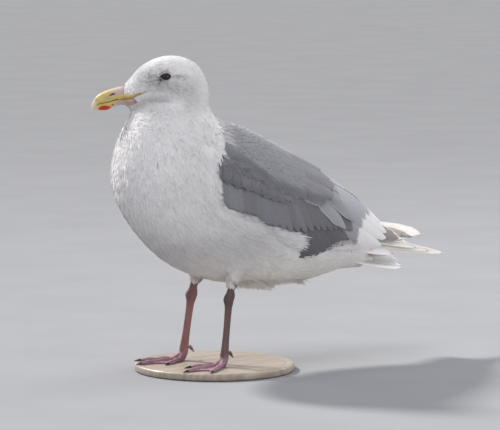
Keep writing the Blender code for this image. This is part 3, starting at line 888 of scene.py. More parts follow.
def build_flank_edge(name, side, wing):
    """The thick soft edge of the white flank and breast, which closes over the wing."""
    count = 150
    places = np.array(along_line(FLANK_EDGE, count)).T
    for _ in range(3):
        places[1:-1] = evened(places)
    ways = unit(np.gradient(places, axis=0))
    out = np.stack([ways[:, 1], -ways[:, 0]], 1)
    rows = []
    ends = np.minimum(np.linspace(0, 9, count), 1) * np.minimum(np.linspace(14, 0, count), 1)
    for away in (-3, -1.8, -0.9, 0, 1.2, 2.6, 4.5, 7, 10, 14, 18, 22, 26, 30):
        x, z = (places + out * away).T
        angle = wing.angle_at(x, z)
        height = line(FLANK_SWELL, away) * ends - 2.0 * (1 - ends) - 0.5
        rows.append(wing.look(wing.plain, x, angle) + wing.look(wing.normals, x, angle) * height[:, None])
    faces = grid_faces(len(rows), count)
    points = np.concatenate(rows)
    new_piece(
        "flank_edge_" + name, points, faces if side > 0 else faces[:, ::-1], bpy.data.materials["skin_down"],
        colours=alike(WHITE * 0.96, len(points)), bake=unwrapped(points),
    )


def build_white_coat():
    material = plumage_material("white_feathers")
    keep = lambda p: (1 - in_saddle(p, -1.5 + 5 * step(185, 200, p[:, 0]))) * clear_of_face(p) * (p[:, 0] < 240)
    points, normals = outer.scatter(white_spacing, keep, SEED)
    inside = keep(points) > 0.5
    points, normals = points[inside], normals[inside]
    head = on_head(points)
    spacing = white_spacing(points)
    length = spacing * (4.9 - 1.0 * head)
    under = step(125, 95, points[:, 2]) * step(20, 60, points[:, 0])
    lift = 0.35 + 0.25 * (1 - head) + 0.9 * under
    for name, chosen, blades, seed in (("coat_head", head > 0.5, 3, 1), ("coat_body", head <= 0.5, 5, 2)):
        p = points[chosen]
        made, soft = tufts(p, normals[chosen], length[chosen], spacing[chosen] * 1.95, blades, lift[chosen],
                           coat_depth(p) * 0.75 + 0.1, flank_swell(p), seed)
        speckle = 1 - freckles(p)[:, None] * np.random.default_rng(seed).uniform(0, 0.66, (len(p), 1)) ** 1.5
        coat_pieces(name, tuft_arrays(made, soft, p, plumage_and_shade(p) * speckle, seed), material)


# Spots of ragged feathers: middle, half-size, count, way and length.
RAGGED = (
    *(((62, y, 92), (24, 12, 3), 90, (0.80, 0.0, -0.60), 17) for y in (-16, 16)),
    ((112, 0, 93), (22, 22, 3), 80, (0.95, 0.0, -0.30), 18),
    *(((88, y, 146), (7, 5, 12), 46, (0.93, way, -0.35), 20) for y, way in ((-52, 0.05), (52, -0.05))),
)
CUFF_TUFTS = 84


def build_loose_tufts():
    """The ragged feathers under the belly and at the flank's rear end, and the cuffs round the legs."""
    rng = np.random.default_rng(SEED + 5)
    parts = []

    def add(places, roots, ways, outward, lengths, width, blades, seed):
        made, soft = hanging(roots, ways, outward, lengths, np.full(len(roots), width), blades, seed)
        parts.append(tuft_arrays(made, soft, places, plumage_and_shade(places), seed + 1))

    for middle, half, count, way, length in RAGGED:
        spots = np.array(middle) + rng.uniform(-1, 1, (count, 3)) * np.array(half)
        places, normals = outer.nearest(spots)
        ways = unit(np.array(way) + rng.normal(0, 0.08, (count, 3)))
        add(places, places - normals * 1.0, ways, normals, length * rng.uniform(0.7, 1.15, count), 5.0, 5, SEED + 6)
    for name, _ in SIDES:
        end = next(box("thigh_" + name))[2]
        shank = refined("shank_" + name, 0)[0]
        axis = shank[shank[:, 2] > shank[:, 2].max() - 8][:, :2].mean(0)
        turns = rng.uniform(0, FULL_TURN, CUFF_TUFTS)
        out = np.stack([np.cos(turns), np.sin(turns), 0 * turns], 1)
        starts = np.array([*axis, 0]) + out * 7.5 + UP * (end + rng.uniform(3, 9, (CUFF_TUFTS, 1)))
        places, _ = outer.nearest(starts)
        reach = np.array([*axis, end - 2.5]) + out * 4.9 - places
        lengths = np.linalg.norm(reach, axis=1) * rng.uniform(0.75, 1.1, CUFF_TUFTS)
        add(places, places - out * 0.8, unit(reach), out, lengths, 4.2, 4, SEED + 8)
    starts = np.cumsum([0] + [len(part[0]) for part in parts])
    arrays = [np.concatenate(kind) for kind in zip(*parts)]
    arrays[1] = np.concatenate([part[1] + start for part, start in zip(parts, starts)])
    coat_pieces("coat_loose", arrays, bpy.data.materials["white_feathers"])


# ---------------------------------------------------------------- larger feathers

VANE_PROFILE = ((0, 0.40), (0.18, 0.78), (0.5, 1.0), (0.78, 0.97), (0.92, 0.80), (1.0, 0.50))
SCAPULAR_LIP = ((-30, 262), (0, 249), (16, 240), (24, 235), (36, 226), (48, 217), (60, 211.5), (77, 206), (98, 199),
                (125, 192), (160, 184), (200, 170))
COVERT_LIP = ((-30, 231), (-20, 223), (-2, 216), (15, 211), (34, 205), (50, 198), (75, 192), (100, 188), (150, 176))
CAST_FROM = 220  # well outside the wing
FORMS_FROM = math.radians(12)  # from the top of the back
MEETING = math.radians(24)  # from the top, where the inner feathers start to reach over to the other wing's
UNSURE_FROM, STRAIGHT_FROM, MEET_FROM = 150, 250, 130  # x where casts may miss, the face runs straight, wings meet


def axis_height(x):
    """The height of the line that the wings' faces are looked up around."""
    return 213 - 0.295 * (x + 40)


class Wing:
    """A folded wing's outer face, looked up by its place along the body and its angle from the top."""

    XS = np.linspace(-60, 282, 115)
    ANGLES = np.radians(np.linspace(-14, 150, 83))

    def __init__(self, side):
        self.side = side
        grid = np.zeros((len(self.XS), len(self.ANGLES), 3))
        for i, x in enumerate(self.XS):
            centre = np.array([x, 0, axis_height(x)])
            for j, angle in enumerate(self.ANGLES):
                way = np.array([0, side * math.sin(angle), math.cos(angle)])
                hit = outer.cast(centre + CAST_FROM * way, -way)
                if x > UNSURE_FROM:
                    onward = grid[i - 1, j] + (grid[i - 1, j] - grid[i - 4, j]) / 3
                    if hit is None or np.linalg.norm(np.array(hit) - onward) > 7:
                        hit = onward
                grid[i, j] = hit if hit is not None else centre + 20 * way
        last = np.searchsorted(self.XS, STRAIGHT_FROM)
        onward = (grid[last] - grid[last - 4]) / (self.XS[last] - self.XS[last - 4])
        grid[last + 1:] = grid[last] + onward * (self.XS[last + 1:] - self.XS[last])[:, None, None]
        # behind the back the wings' inner feathers meet over the gap between them
        edge = np.searchsorted(self.ANGLES, MEETING)
        share = np.clip(self.ANGLES[:edge] / self.ANGLES[edge], -1, 1)
        for x, row in zip(self.XS, grid):
            over = np.stack([x + 0 * share, row[edge, 1] * share, row[edge, 2] + 3 * (1 - share**2)], 1)
            higher = (over[:, 2] > row[:edge, 2]) & (x > MEET_FROM)
            row[:edge][higher] = over[higher]
        for _ in range(3):
            grid[1:-1] = evened(grid)
            grid[:, 1:-1] = evened(grid.swapaxes(0, 1)).swapaxes(0, 1)
        self.set(grid)
        self.plain = grid
        self.add_forms()
        self.lows = self.angle_at(self.XS, line(WING_LOW, self.XS))

    def set(self, grid):
        self.grid = grid
        self.per_x = np.gradient(grid, self.XS, axis=0)
        self.per_angle = np.gradient(grid, self.ANGLES, axis=1)
        self.normals = unit(np.cross(self.per_angle, self.per_x) * self.side * -1)

    def look(self, table, x, angle):
        i = np.clip((x - self.XS[0]) / (self.XS[1] - self.XS[0]), 0, len(self.XS) - 1.001)
        j = np.clip((angle - self.ANGLES[0]) / (self.ANGLES[1] - self.ANGLES[0]), 0, len(self.ANGLES) - 1.001)
        a, b = i.astype(int), j.astype(int)
        u, v = (i - a)[..., None], (j - b)[..., None]
        return (
            (table[a, b] * (1 - v) + table[a, b + 1] * v) * (1 - u)
            + (table[a + 1, b] * (1 - v) + table[a + 1, b + 1] * v) * u
        )

    def lengths(self, *place):
        """How many millimetres one step along the body and one of angle are at a place."""
        return (np.linalg.norm(self.look(table, *place), axis=-1) for table in (self.per_x, self.per_angle))

    def angle_at(self, x, z):
        """The angle at which the face has a height."""
        x, z = np.broadcast_arrays(np.asarray(x, float), np.asarray(z, float))
        heights = self.look(self.grid, x[:, None] + 0 * self.ANGLES, self.ANGLES[None] + 0 * x[:, None])[..., 2]
        first = np.searchsorted(self.ANGLES, 0)
        return np.array([np.interp(-c, -h[first:], self.ANGLES[first:]) for c, h in zip(z, heights)])

    def add_forms(self):
        """The scapulars' and the coverts' rounded masses, each with a lip at its lower edge."""
        z = self.grid[..., 2]
        x = self.XS[:, None]
        total = np.zeros_like(z)
        for lip, height, fade, ends in (
            (SCAPULAR_LIP, 5.4, 34.0, (-30, 10, 130, 180)),
            (COVERT_LIP, 3.4, 22.0, (-30, -12, 55, 100)),
        ):
            over = z - line(lip, self.XS)[:, None]
            mass = step(-1.5, 3.5, over) * np.exp(-np.maximum(over, 0) / fade)
            total += height * mass * step(ends[0], ends[1], x) * step(ends[3], ends[2], x)
        total = total * (self.ANGLES > FORMS_FROM)
        if self.side > 0:
            # the far wing stands a little over the ridge of the back, as in the photo
            hump = step(0.7, 0.3, self.ANGLES) * step(-0.24, -0.12, self.ANGLES)
            total = total + hump * line(((80, 0), (125, 3.6), (150, 3.6), (182, 1.2), (206, 0)), x)
        self.set(self.grid + self.normals * total[..., None])

    def share_down(self, x, angle):
        """The share of the way from the ridge to the wing's lower edge."""
        return np.clip(angle / np.interp(x, self.XS, self.lows), 0, 1)

    def slope(self, x, angle):
        """The lie of the wing's feathers at places, as an angle down from the way along the body."""
        low = line(((-40, 78), (20, 76), (60, 70), (100, 62), (150, 53), (200, 42), (SADDLE_END, 26)), x)
        high = line(((-40, 42), (60, 36), (150, 33), (SADDLE_END, 28)), x)
        mix = step(0.34, 0.86, self.share_down(x, angle))
        way = self.look(self.per_x, x, angle)
        return np.radians(high * (1 - mix) + low * mix - np.degrees(np.arctan2(-way[..., 2], way[..., 0])))

    def laid(self, roots, tips, width, **looks):
        """Feathers from one line of (x, z) places to another, as seen from the side."""
        (x, z), (tip_x, tip_z) = roots, tips
        angle, tip_angle = self.angle_at(x, z), self.angle_at(tip_x, tip_z)
        middle = (x + tip_x) / 2, (angle + tip_angle) / 2
        per_x, per_angle = self.lengths(*middle)
        ahead, down = (tip_x - x) * per_x, (tip_angle - angle) * per_angle
        return self.feathers(x, angle, np.arctan2(down, ahead), np.hypot(ahead, down), width, middle=middle, **looks)

    def feathers(self, x, angle, slope, length, width, rows=8, columns=5, base=0.0, lift=1.0, roll=0.5,
                 camber=0.6, bend=0.0, tip=0.16, sink=1.2, middle=None):
        """Points of feathers rooted at places on the face, row by row from root to tip."""
        x, angle, slope, length, width, base, bend, lift, roll = (
            np.broadcast_to(np.asarray(value, float), np.shape(x))[:, None, None]
            for value in (x, angle, slope, length, width, base, bend, lift, roll)
        )
        s, c, profile = vane_grid(rows, columns, VANE_PROFILE)
        along = length * (s - tip * c**2 * step(0.55, 1.0, s) * width / length * 2.2)
        across = width / 2 * profile * c
        chord, turn = slope + bend * (s - 1) * 0.5, slope + bend * (s - 0.5)
        ahead = along * np.cos(chord) - across * np.sin(turn)
        down = along * np.sin(chord) + across * np.cos(turn)
        if middle is None:
            middle = x + length * 0.5 * np.cos(slope), angle
        else:
            middle = (value[:, None, None] for value in middle)
        scale_x, scale_angle = self.lengths(*middle)
        at_x, at_angle = x + ahead / scale_x, angle + down / scale_angle
        height = base + lift * s**1.6 - camber * (c**2) * width / 14 + roll * c
        height = height - sink * (1 - s) ** 3
        places = self.look(self.grid, at_x, at_angle)
        inside = edge_distance(places.reshape(-1, 3)).reshape(height.shape)
        # under the white edge the feathers dip, and past the ridge they lie close, where both wings' cross
        height = height - 3.6 * step(1.2, -2.0, inside) * (places[..., 0] < 104)
        height = height * (1 - 0.85 * step(0.02, -0.2, at_angle))
        made = places + self.look(self.normals, at_x, at_angle) * height[..., None]
        return made if self.side < 0 else made[:, :, ::-1]


def vane_grid(rows, columns, profile):
    """Shares of the way along a feather and across it, from -1 to 1, and its width along the way."""
    s = np.linspace(0, 1, rows)[None, :, None] ** 0.9
    return s, np.linspace(-1, 1, columns)[None, None, :], line(profile, s)


def rim_faces(rows, columns):
    """Walls between a sheet and its copy, which follows it by one sheet's size."""
    size = rows * columns
    grid = np.arange(size).reshape(rows, columns)
    loop = [*grid[0], *grid[1:, -1], *grid[-1, -2::-1], *grid[-2:0:-1, 0]]
    return np.array([[b, a, a + size, b + size] for a, b in zip(loop, loop[1:] + loop[:1])])


CELL_MARGIN = 0.06


def feather_piece(name, groups, material, solid=0.0, cells=False):
    """One piece from groups of feathers: points (n, rows, columns, 3), colours, tip colours and shares."""
    parts, start, done = [], 0, 0
    side = math.ceil(math.sqrt(sum(len(group[0]) for group in groups)))
    for points, colours, tip_colours, tip_from in groups:
        count, rows, columns = points.shape[:3]
        size, whole = rows * columns, count * rows * columns
        s, c = np.meshgrid(np.linspace(0, 1, rows) ** 0.9, np.linspace(0, 1, columns), indexing="ij")
        vanes = np.broadcast_to(np.stack([c, s], -1), (count, rows, columns, 2))
        tips = np.concatenate([tip_colours, np.broadcast_to(tip_from, (count,))[:, None]], 1)
        if cells:
            number = done + np.arange(count)
            corner = np.stack([number % side, number // side], 1)[:, None, None] / side
            bake = corner + (CELL_MARGIN + (1 - 2 * CELL_MARGIN) * vanes) / side
        else:
            bake = unwrapped(points[:, 0, columns // 2])[:, None, None] + vanes * PATCH
        maps = np.repeat(colours, size, 0), np.repeat(tips, size, 0), bake.reshape(-1, 2), vanes.reshape(-1, 2)
        faces = grid_faces(rows, columns)
        parts.append((points.reshape(-1, 3), repeated(faces, count, size) + start, *maps))
        if solid:
            down = np.cross(points[:, 1:2, 1:] - points[:, 1:2, :-1], points[:, 2:3, 1:] - points[:, 1:2, 1:])
            down = unit(down.mean((1, 2)))[:, None, None]
            rim = rim_faces(rows, columns)
            walls = repeated(np.where(rim < size, rim, rim - size + whole), count, size)
            faces = np.concatenate([repeated(faces[:, ::-1], count, size) + whole, walls]) + start
            parts.append(((points - down * solid).reshape(-1, 3), faces, *maps))
        start += whole * (2 if solid else 1)
        done += count
    points, faces, colours, tips, bake, vanes = (np.concatenate(kind) for kind in zip(*parts))
    return new_piece(name, points, faces, material, colours=np.clip(colours, 0, 1), tips=tips, bake=bake,
                     vane=vanes)


def greys(count, seed, low=0.90, high=1.08, shade=1.0):
    return GREY[None] * np.random.default_rng(seed).uniform(low, high, (count, 1)) * shade


NO_TIP = 2.0
EDGE_TIP = 0.985  # a thin pale edge only
PALE_GREY = GREY * 1.22
# Single feathers of the wing: root and tip, as places seen from the side.
TERTIALS = (
    ((112, 252), (236, 181)), ((116, 232), (247, 167)), ((124, 215), (257, 153)), ((132, 200), (268, 140)),
    ((140, 187), (270, 130)), ((148, 175), (259, 124)), ((156, 163), (250, 118.5)),
)
INNER_TERTIALS = ((104, 224), (192, 160)), ((100, 214), (172, 154))
REAR_SCAPULARS = (
    ((62, 270), (138, 232)), ((68, 259), (150, 221)), ((76, 247), (158, 210)), ((82, 234), (158, 201)),
    ((84, 222), (151, 193)), ((82, 211), (137, 187)),
)


def build_wing(name, side):
    wing = Wing(side)
    right = side > 0
    rng = np.random.default_rng(SEED + (4 if right else 3))
    material = bpy.data.materials.get("grey_vanes") or vane_material("grey_vanes")
    groups = []

    def single(places, width, tints, tip_colour, tip_from, **looks):
        roots, tips = np.array(places, float).transpose(1, 2, 0)
        made = wing.laid(roots, tips, width, **looks)
        groups.append((made, tints, alike(tip_colour, len(tints)), tip_from))

    def row(tips, count, ahead, up, width, grey, tip_colour, tip_from=EDGE_TIP, **looks):
        """One row of feathers along a line of tips, each reaching ahead and up to its root."""
        tip_x, tip_z = along_line(tips, count)
        roots = tip_x - line(ahead, tip_x), tip_z + line(up, tip_x)
        jitter = rng.uniform(-1, 1, (2, count)) * 0.9
        made = wing.laid(roots, (tip_x + jitter[0], tip_z + jitter[1]), width, **looks)
        groups.append((made, greys(count, int(rng.integers(99)), shade=grey), alike(tip_colour, count), tip_from))

    # secondaries: their tips make the wing's lower edge; their grey is darker than the coverts' as painted shade on
    # the lower wing
    row(((46, 150), (72, 138), (94, 124), (108, 119), (124, 121), (140, 126), (164, 132), (190, 129), (210, 124)), 17,
        ((46, 22), (120, 32), (210, 58)), ((46, 52), (120, 48), (210, 30)), 28, 0.48, PALE_GREY * 0.60,
        rows=11, columns=7, base=0.4, lift=0.15, roll=0.3, bend=0.12, tip=0.05)
    # greater coverts, their grey darker from the front ones to the rear ones as painted shade
    row(((-24, 184), (0, 176), (30, 168), (60, 161), (95, 156), (130, 156), (165, 155), (190, 150)), 21,
        ((-24, 5), (40, 15), (100, 22), (190, 34)), ((-24, 46), (100, 45), (190, 34)), 26,
        np.linspace(0.90, 0.60, 21)[:, None], PALE_GREY * 0.75,
        rows=11, columns=7, base=1.0, lift=0.2, roll=np.linspace(0.05, 0.85, 21), bend=0.2, camber=0.5, tip=0.12)
    # the lowest rows of the lesser coverts and of the scapulars, which stand off the feathers below them; both are a
    # darker grey than the mantle as painted shade
    row(((-23, 228), (-18, 221), (-2, 214), (15, 209), (34, 203), (50, 196.5), (66, 192)), 8,
        ((-24, 9), (100, 22)), ((-24, 25), (100, 22)), 25, 0.66, PALE_GREY * 0.8, 0.99,
        rows=8, columns=9, base=0.8, lift=1.4, roll=0.12, bend=0.1, camber=0.8, tip=0.2)
    row(((4, 247), (16, 239), (25, 233), (37, 224), (48, 215.5), (61, 210), (78, 204.5), (98, 198), (124, 191)), 7,
        ((0, 36), (120, 50)), ((0, 27), (120, 28)), 38, 0.78, PALE_GREY * 0.85, 0.99,
        rows=11, columns=11, base=0.9, lift=1.6, roll=0.4, bend=0.1, camber=2.0, tip=0.22)

    # tertials, with broad white tips; the upper ones are a lighter grey as painted light, and on the far wing the
    # topmost is paler still, as a painted highlight on the ridge
    pale_from = np.array([0.55, 0.90, 0.83, 0.66, 0.55, 0.50, 0.49])
    colours = greys(7, 3, 0.97, 1.03, 1.25) * np.linspace(1.3, 0.95, 7)[:, None]
    if right:
        colours[0] = linear(176, 174, 178)
        pale_from[0] = 0.8
    single(TERTIALS, 33, colours, WHITE, pale_from, rows=18, columns=9, base=np.linspace(1.9, 0.9, 7) + 0.4 * right,
           lift=0.9, sink=3.4, roll=0.6, camber=0.5, tip=0.10, bend=0.16)
    # two inner tertials over them, a lighter grey as painted light
    single(INNER_TERTIALS, 26, greys(2, 8, shade=1.15), PALE_GREY, EDGE_TIP, rows=16, columns=9,
           base=np.array([1.9, 1.5]), lift=1.8, sink=4.4, roll=0.7, camber=0.6, tip=0.2, bend=0.4)
    # rear scapulars, with pale edges that make a thin crescent; the far wing's are a lighter grey as painted light,
    # the near wing's darker as painted shade
    single(REAR_SCAPULARS, 27, greys(6, 4, shade=1.22 if right else 0.83), PALE_GREY * 1.3, 0.92 if right else 0.98,
           rows=14, columns=9, base=1.5, lift=2.2, sink=3.6, roll=0.5, camber=0.8, bend=0.15)
    feather_piece("flight_feathers_" + name, groups, material, cells=True)

    build_mantle(name, side, wing, material, rng)
    build_flank_edge(name, side, wing)
    build_wing_bed(name)


def build_mantle(name, side, wing, material, rng):
    """The small feathers of the mantle, the scapulars and the lesser coverts, in two layers."""
    groups = []
    field = lambda p: in_saddle(p, 1.5) * (p[:, 1] * side > -3) * (p[:, 0] < 150) * over_coverts(p)
    for seed, spacing, length, width, base in ((21, 5.2, 24, 13, 0.2), (22, 5.0, 22, 12, 0.6)):
        points, _ = outer.scatter(lambda p: np.full(len(p), spacing), field, SEED + seed)
        points = points[field(points) > 0.3]
        x, z = points[:, 0], points[:, 2]
        angle = np.arctan2(points[:, 1] * side, z - axis_height(x))
        share = wing.share_down(x, angle)
        size = (0.60 + 0.55 * step(-10, 90, x)) * (1 - 0.35 * step(0.55, 0.85, share))
        slope = wing.slope(x, angle) + rng.normal(0, 0.05, len(x))
        tip_x, tip_z = x + length * size * 0.75, z - length * size * 0.6
        # none hangs over the two lips, where the lowest rows end
        clear = np.ones(len(x), bool)
        for lip in (SCAPULAR_LIP, COVERT_LIP):
            clear &= (z < line(lip, x)) | (tip_z > line(lip, tip_x) + 1) | (angle < 0.35) | (tip_x > 150)
        clear = np.flatnonzero(clear)
        clear = clear[np.argsort(-x[clear])]  # those behind come first
        x, z, angle, share, size, slope = (value[clear] for value in (x, z, angle, share, size, slope))
        made = wing.feathers(x, angle, slope, length * size, width * size, rows=7, columns=5, base=base, lift=0.3,
                             roll=0.06, camber=0.3, sink=0.9)
        # painted light and shade: darker down the wing and below the scapulars' lip, and up to 1.8 times lighter along
        # the top of the back as a painted highlight
        low = step(3, -6, z - line(SCAPULAR_LIP, x))
        shade = (0.94 - 0.08 * share) * (1 - 0.34 * low) * (1 + 0.80 * step(0.32, 0.02, share))
        # towards the neck the grey fades into the white
        inside = edge_distance(np.stack([x, 0 * x, z], 1))
        fading = 0.45 * (step(13, 0, inside) * step(40, 0, x) * step(246, 264, z))
        colours = blend(greys(len(x), seed, 0.95, 1.05) * shade[:, None], WHITE * 0.85, fading)
        groups.append((made, colours, alike(WHITE * 0.8, len(x)), NO_TIP))
    feather_piece("mantle_" + name, groups, material)


def over_coverts(points):
    """1 above the greater coverts' roots."""
    low = line(((-30, 231), (-20, 223), (-2, 216), (15, 211), (34, 205), (50, 198), (70, 190), (100, 182),
                (135, 174), (168, 164)), points[:, 0])
    return np.where(points[:, 2] > low, 1.0, 0.0)


BED_VOXEL, BED_SINK = 2.4, 0.7


def build_wing_bed(name):
    """The wing's own body under its feathers: the solid's smooth form, a little smaller, with a white rump. Its dark
    grey is painted shade, seen in the gaps between the feathers.
    """
    bed = Surface(*merged_shell(("wing_" + name,), BED_VOXEL, 0.0))
    bed.smooth(10)
    bed.swell(-BED_SINK)
    rump = step(172, 190, bed.points[:, 0]) * step(27, 20, np.abs(bed.points[:, 1]))
    piece = new_piece(
        "wing_bed_" + name, bed.points, bed.faces, bpy.data.materials["skin_down"],
        colours=blend(GREY * 0.44, WHITE * 0.8, rump), bake=unwrapped(bed.points),
    )
    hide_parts("wing_" + name)


def free_feathers(roots, tips, across, widths, profile, sag, point):
    """Gently bowed feathers in the open, from their roots, tips and the way across them."""
    s, c, profile = vane_grid(16, 7, profile)
    ways = tips - roots
    lengths = np.linalg.norm(ways, axis=1)[:, None, None]
    ways = unit(ways)
    across = unit(across - ways * (across * ways).sum(1, keepdims=True))
    outward = np.cross(ways, across)
    widths = widths[:, None, None]
    along = lengths * s - point * widths * c**2 * step(0.6, 1, s)
    side = widths / 2 * profile * c
    height = 0.8 * (1 - c**2) * widths / 12
    return (
        roots[:, None, None] + ways[:, None, None] * along[..., None]
        + across[:, None, None] * side[..., None] + outward[:, None, None] * height[..., None]
        + UP * (sag * lengths * 4 * s * (1 - s))[..., None]
    )


DARK_PRIMARY, PALE_PRIMARY = (112, 108, 112), (240, 233, 223)
# Wing-tip feathers from the topmost down: root, tip, width, colour and where the white tip starts.
LEFT_PRIMARIES = (
    ((205, -16, 154), (300, -16, 128), 26, DARK_PRIMARY, 0.90),
    ((205, -18, 142), (322, -15, 117), 15, PALE_PRIMARY, 0.93),
    ((205, -19, 134), (345, -12.5, 111), 14, PALE_PRIMARY, 0.95),
    ((205, -20, 130), (371, -9.5, 105.6), 14, PALE_PRIMARY, 0.96),
    ((205, -24, 128), (277, -24, 113), 15, PALE_PRIMARY, 0.5),
)
RIGHT_PRIMARIES = (
    # painted shadow: the first, a narrow pinkish-brown feather in front of the pale one after it, stands for the shade
    # on that feather's lower part
    ((205, 8, 150), (322, 10, 129), 12, (200, 180, 170), NO_TIP),
    ((205, 14, 150), (359, 15, 127.5), 20, (228, 222, 217), NO_TIP),
    ((205, 16, 146), (342, 17, 125), 18, (228, 221, 213), 0.9),
    ((205, 18, 147), (320, 19, 125), 18, PALE_PRIMARY, 0.93),
    ((205, 20, 140), (302, 21, 123), 18, DARK_PRIMARY, 0.90),
    ((205, 24, 130), (280, 24, 118), 15, PALE_PRIMARY, 0.5),
)
BLUNT = ((0, 0.7), (0.3, 1.0), (0.7, 0.98), (0.86, 0.80), (0.95, 0.5), (1.0, 0.12))
POINTED = ((0, 0.7), (0.3, 1.0), (0.6, 0.92), (0.8, 0.72), (0.93, 0.42), (1.0, 0.10))


def build_primaries(name, side, table):
    """The long wing-tip feathers, stacked with each lower one reaching further back."""
    roots, tips, widths, tints, starts = zip(*table)
    across = np.repeat([[-0.2, side * 0.5, -0.85]], len(table), 0)
    made = free_feathers(np.array(roots, float), np.array(tips, float), across, np.array(widths, float),
                         BLUNT if side > 0 else POINTED, 0.012, 0.35)
    colours = np.array([linear(*tint) for tint in tints])
    piece = feather_piece(
        "primary_feathers_" + name, [(made, colours, alike(WHITE, len(table)), starts)],
        bpy.data.materials["pale_vanes"], solid=0.45 * side, cells=True,
    )
    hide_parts("primaries_" + name)


def build_tail():
    """Twelve white tail feathers, the middle pair on top."""
    low, high = box("tail")
    count = 12
    share = np.linspace(-1, 1, count)
    stack = (1 - np.abs(share)) * 0.6
    half = (high[1] - low[1]) / 2
    fall = np.abs(share) ** 1.2
    roots = np.stack([np.full(count, 218.0), share * 16, 114 - 6 * fall + stack], 1)
    tips = np.stack([high[0] - 2.5 - 6 * share**2, share * (half - 4), 106 - 11 * fall + stack], 1)
    across = np.stack([np.zeros(count), np.ones(count), -0.55 * np.sign(share)], 1)
    made = free_feathers(roots, tips, across, np.full(count, 14.0), BLUNT, -0.010, 0.16)
    colours = alike(linear(246, 243, 241), count)
    piece = feather_piece(
        "tail_feathers", [(made, colours, colours, NO_TIP)], bpy.data.materials["pale_vanes"],
        solid=0.5, cells=True,
    )
    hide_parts("tail")


# ---------------------------------------------------------------- bill


def nostril(p):
    """1 in the slit-shaped nostril on each side and 0 outside it, in the straight head."""
    x, z = p[..., 0] + 110.8, p[..., 2] - 320.6
    lean = math.radians(20)
    along, across = x * math.cos(lean) + z * math.sin(lean), -x * math.sin(lean) + z * math.cos(lean)
    return step(1.35, 0.7, np.sqrt((along / 3.3) ** 2 + (across / 0.9) ** 2))


def bill_colours(points):
    """The bill's zones, from places in the straight head."""
    p, u, above = at_mouth(points)
    x, z = p[:, 0], p[:, 2]
    spot = ((x + 119.3) / 7.8) ** 2 + ((z - 303.4) / 4.2) ** 2
    fleck = ((x + 110.5) / 1.5) ** 2 + ((z - 308.3) / 1.0) ** 2
    colour = alike(linear(203, 179, 106), len(p))
    for tone, share in (
        ((222, 210, 182), step(-126, -134, x)),  # the pale tip
        ((146, 142, 112), 0.6 * blob(u, 67, 6, above, 5.5, 3)),  # an olive patch ahead of the nostril
        ((190, 168, 160), step(4.4, 6.8, above) * step(68, 58, u)),  # pink base above
        ((190, 168, 160), step(-1.6, -3.4, above) * step(65, 57, u)),  # and below
        ((206, 122, 62), step(1.5, 0.9, spot)),
        ((180, 46, 8), step(1.05, 0.6, spot)),  # the red spot
        ((60, 30, 22), step(1.3, 0.5, fleck) * 0.8),
        # the nostril, dark as painted shade in its slit
        ((52, 18, 14), nostril(p)),
    ):
        colour = blend(colour, linear(*tone), share)
    return colour


def build_bill():
    """Both mandibles of horn, run back under the feathers, and the dark line of the mouth between them."""
    material = horn_material("bill_horn", 0.30, 0.44)
    for node, close, middle in (("bill_upper", -1, 319), ("bill_lower", 1, 311.5)):
        surface = Surface(*refined(node, 3))
        surface.smooth(6)
        # the gap between the two is nearly closed, and the base runs back and in under the feathers
        p = straight(surface.points)
        facing = surface.normals[:, 2] * close
        p[:, 2] += close * 0.42 * step(0.3, 0.9, facing) * step(-133, -128, p[:, 0])
        p[:, 0] += 5.0 * step(-99.5, -97.0, p[:, 0])
        hidden = step(-99, -92.5, p[:, 0])
        p[:, 1] *= 1 - 0.45 * hidden
        p[:, 2] += hidden * 0.35 * (middle - p[:, 2])
        sunk = nostril(p) * (np.abs(p[:, 1]) > 2) * 1.2 + 0.9 * step(-104, -98, p[:, 0])
        points = turned(p) - surface.normals * sunk[:, None]
        piece = new_piece(node + "_horn", points, surface.faces, material, colours=bill_colours(points))
        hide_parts(node)
    # the mouth's lining: its red, painted dark as shade in the narrow gap between the mandibles
    u = np.linspace(47, 80, 24)
    half = line(((46, 7.6), (60, 5.6), (72, 3.7), (80, 1.6)), u)
    height = line(((46, 315.5), (54, 314.9), (64, 312.9), (72, 310.9), (78, 308.6), (80, 307.4)), u)
    across = np.linspace(-1, 1, 9)
    points = np.concatenate([turned(np.stack([MOUTH_FROM - u, side * half, height], 1)) for side in across])
    new_piece("mouth_lining", points, grid_faces(len(across), len(u))[:, ::-1], material,
              colours=alike(linear(84, 40, 32), len(points)))
    return material


GAPE_ROWS, GAPE_COLUMNS = 9, 40
GAPE_STARTS, GAPE_END = ((True, 12.0), (False, 32.0)), 55.0  # along the mouth, the upper edge's first
CAST_SIDE, MISSED = 60.0, 57  # from the middle, where casts start and how far in a missed one is put


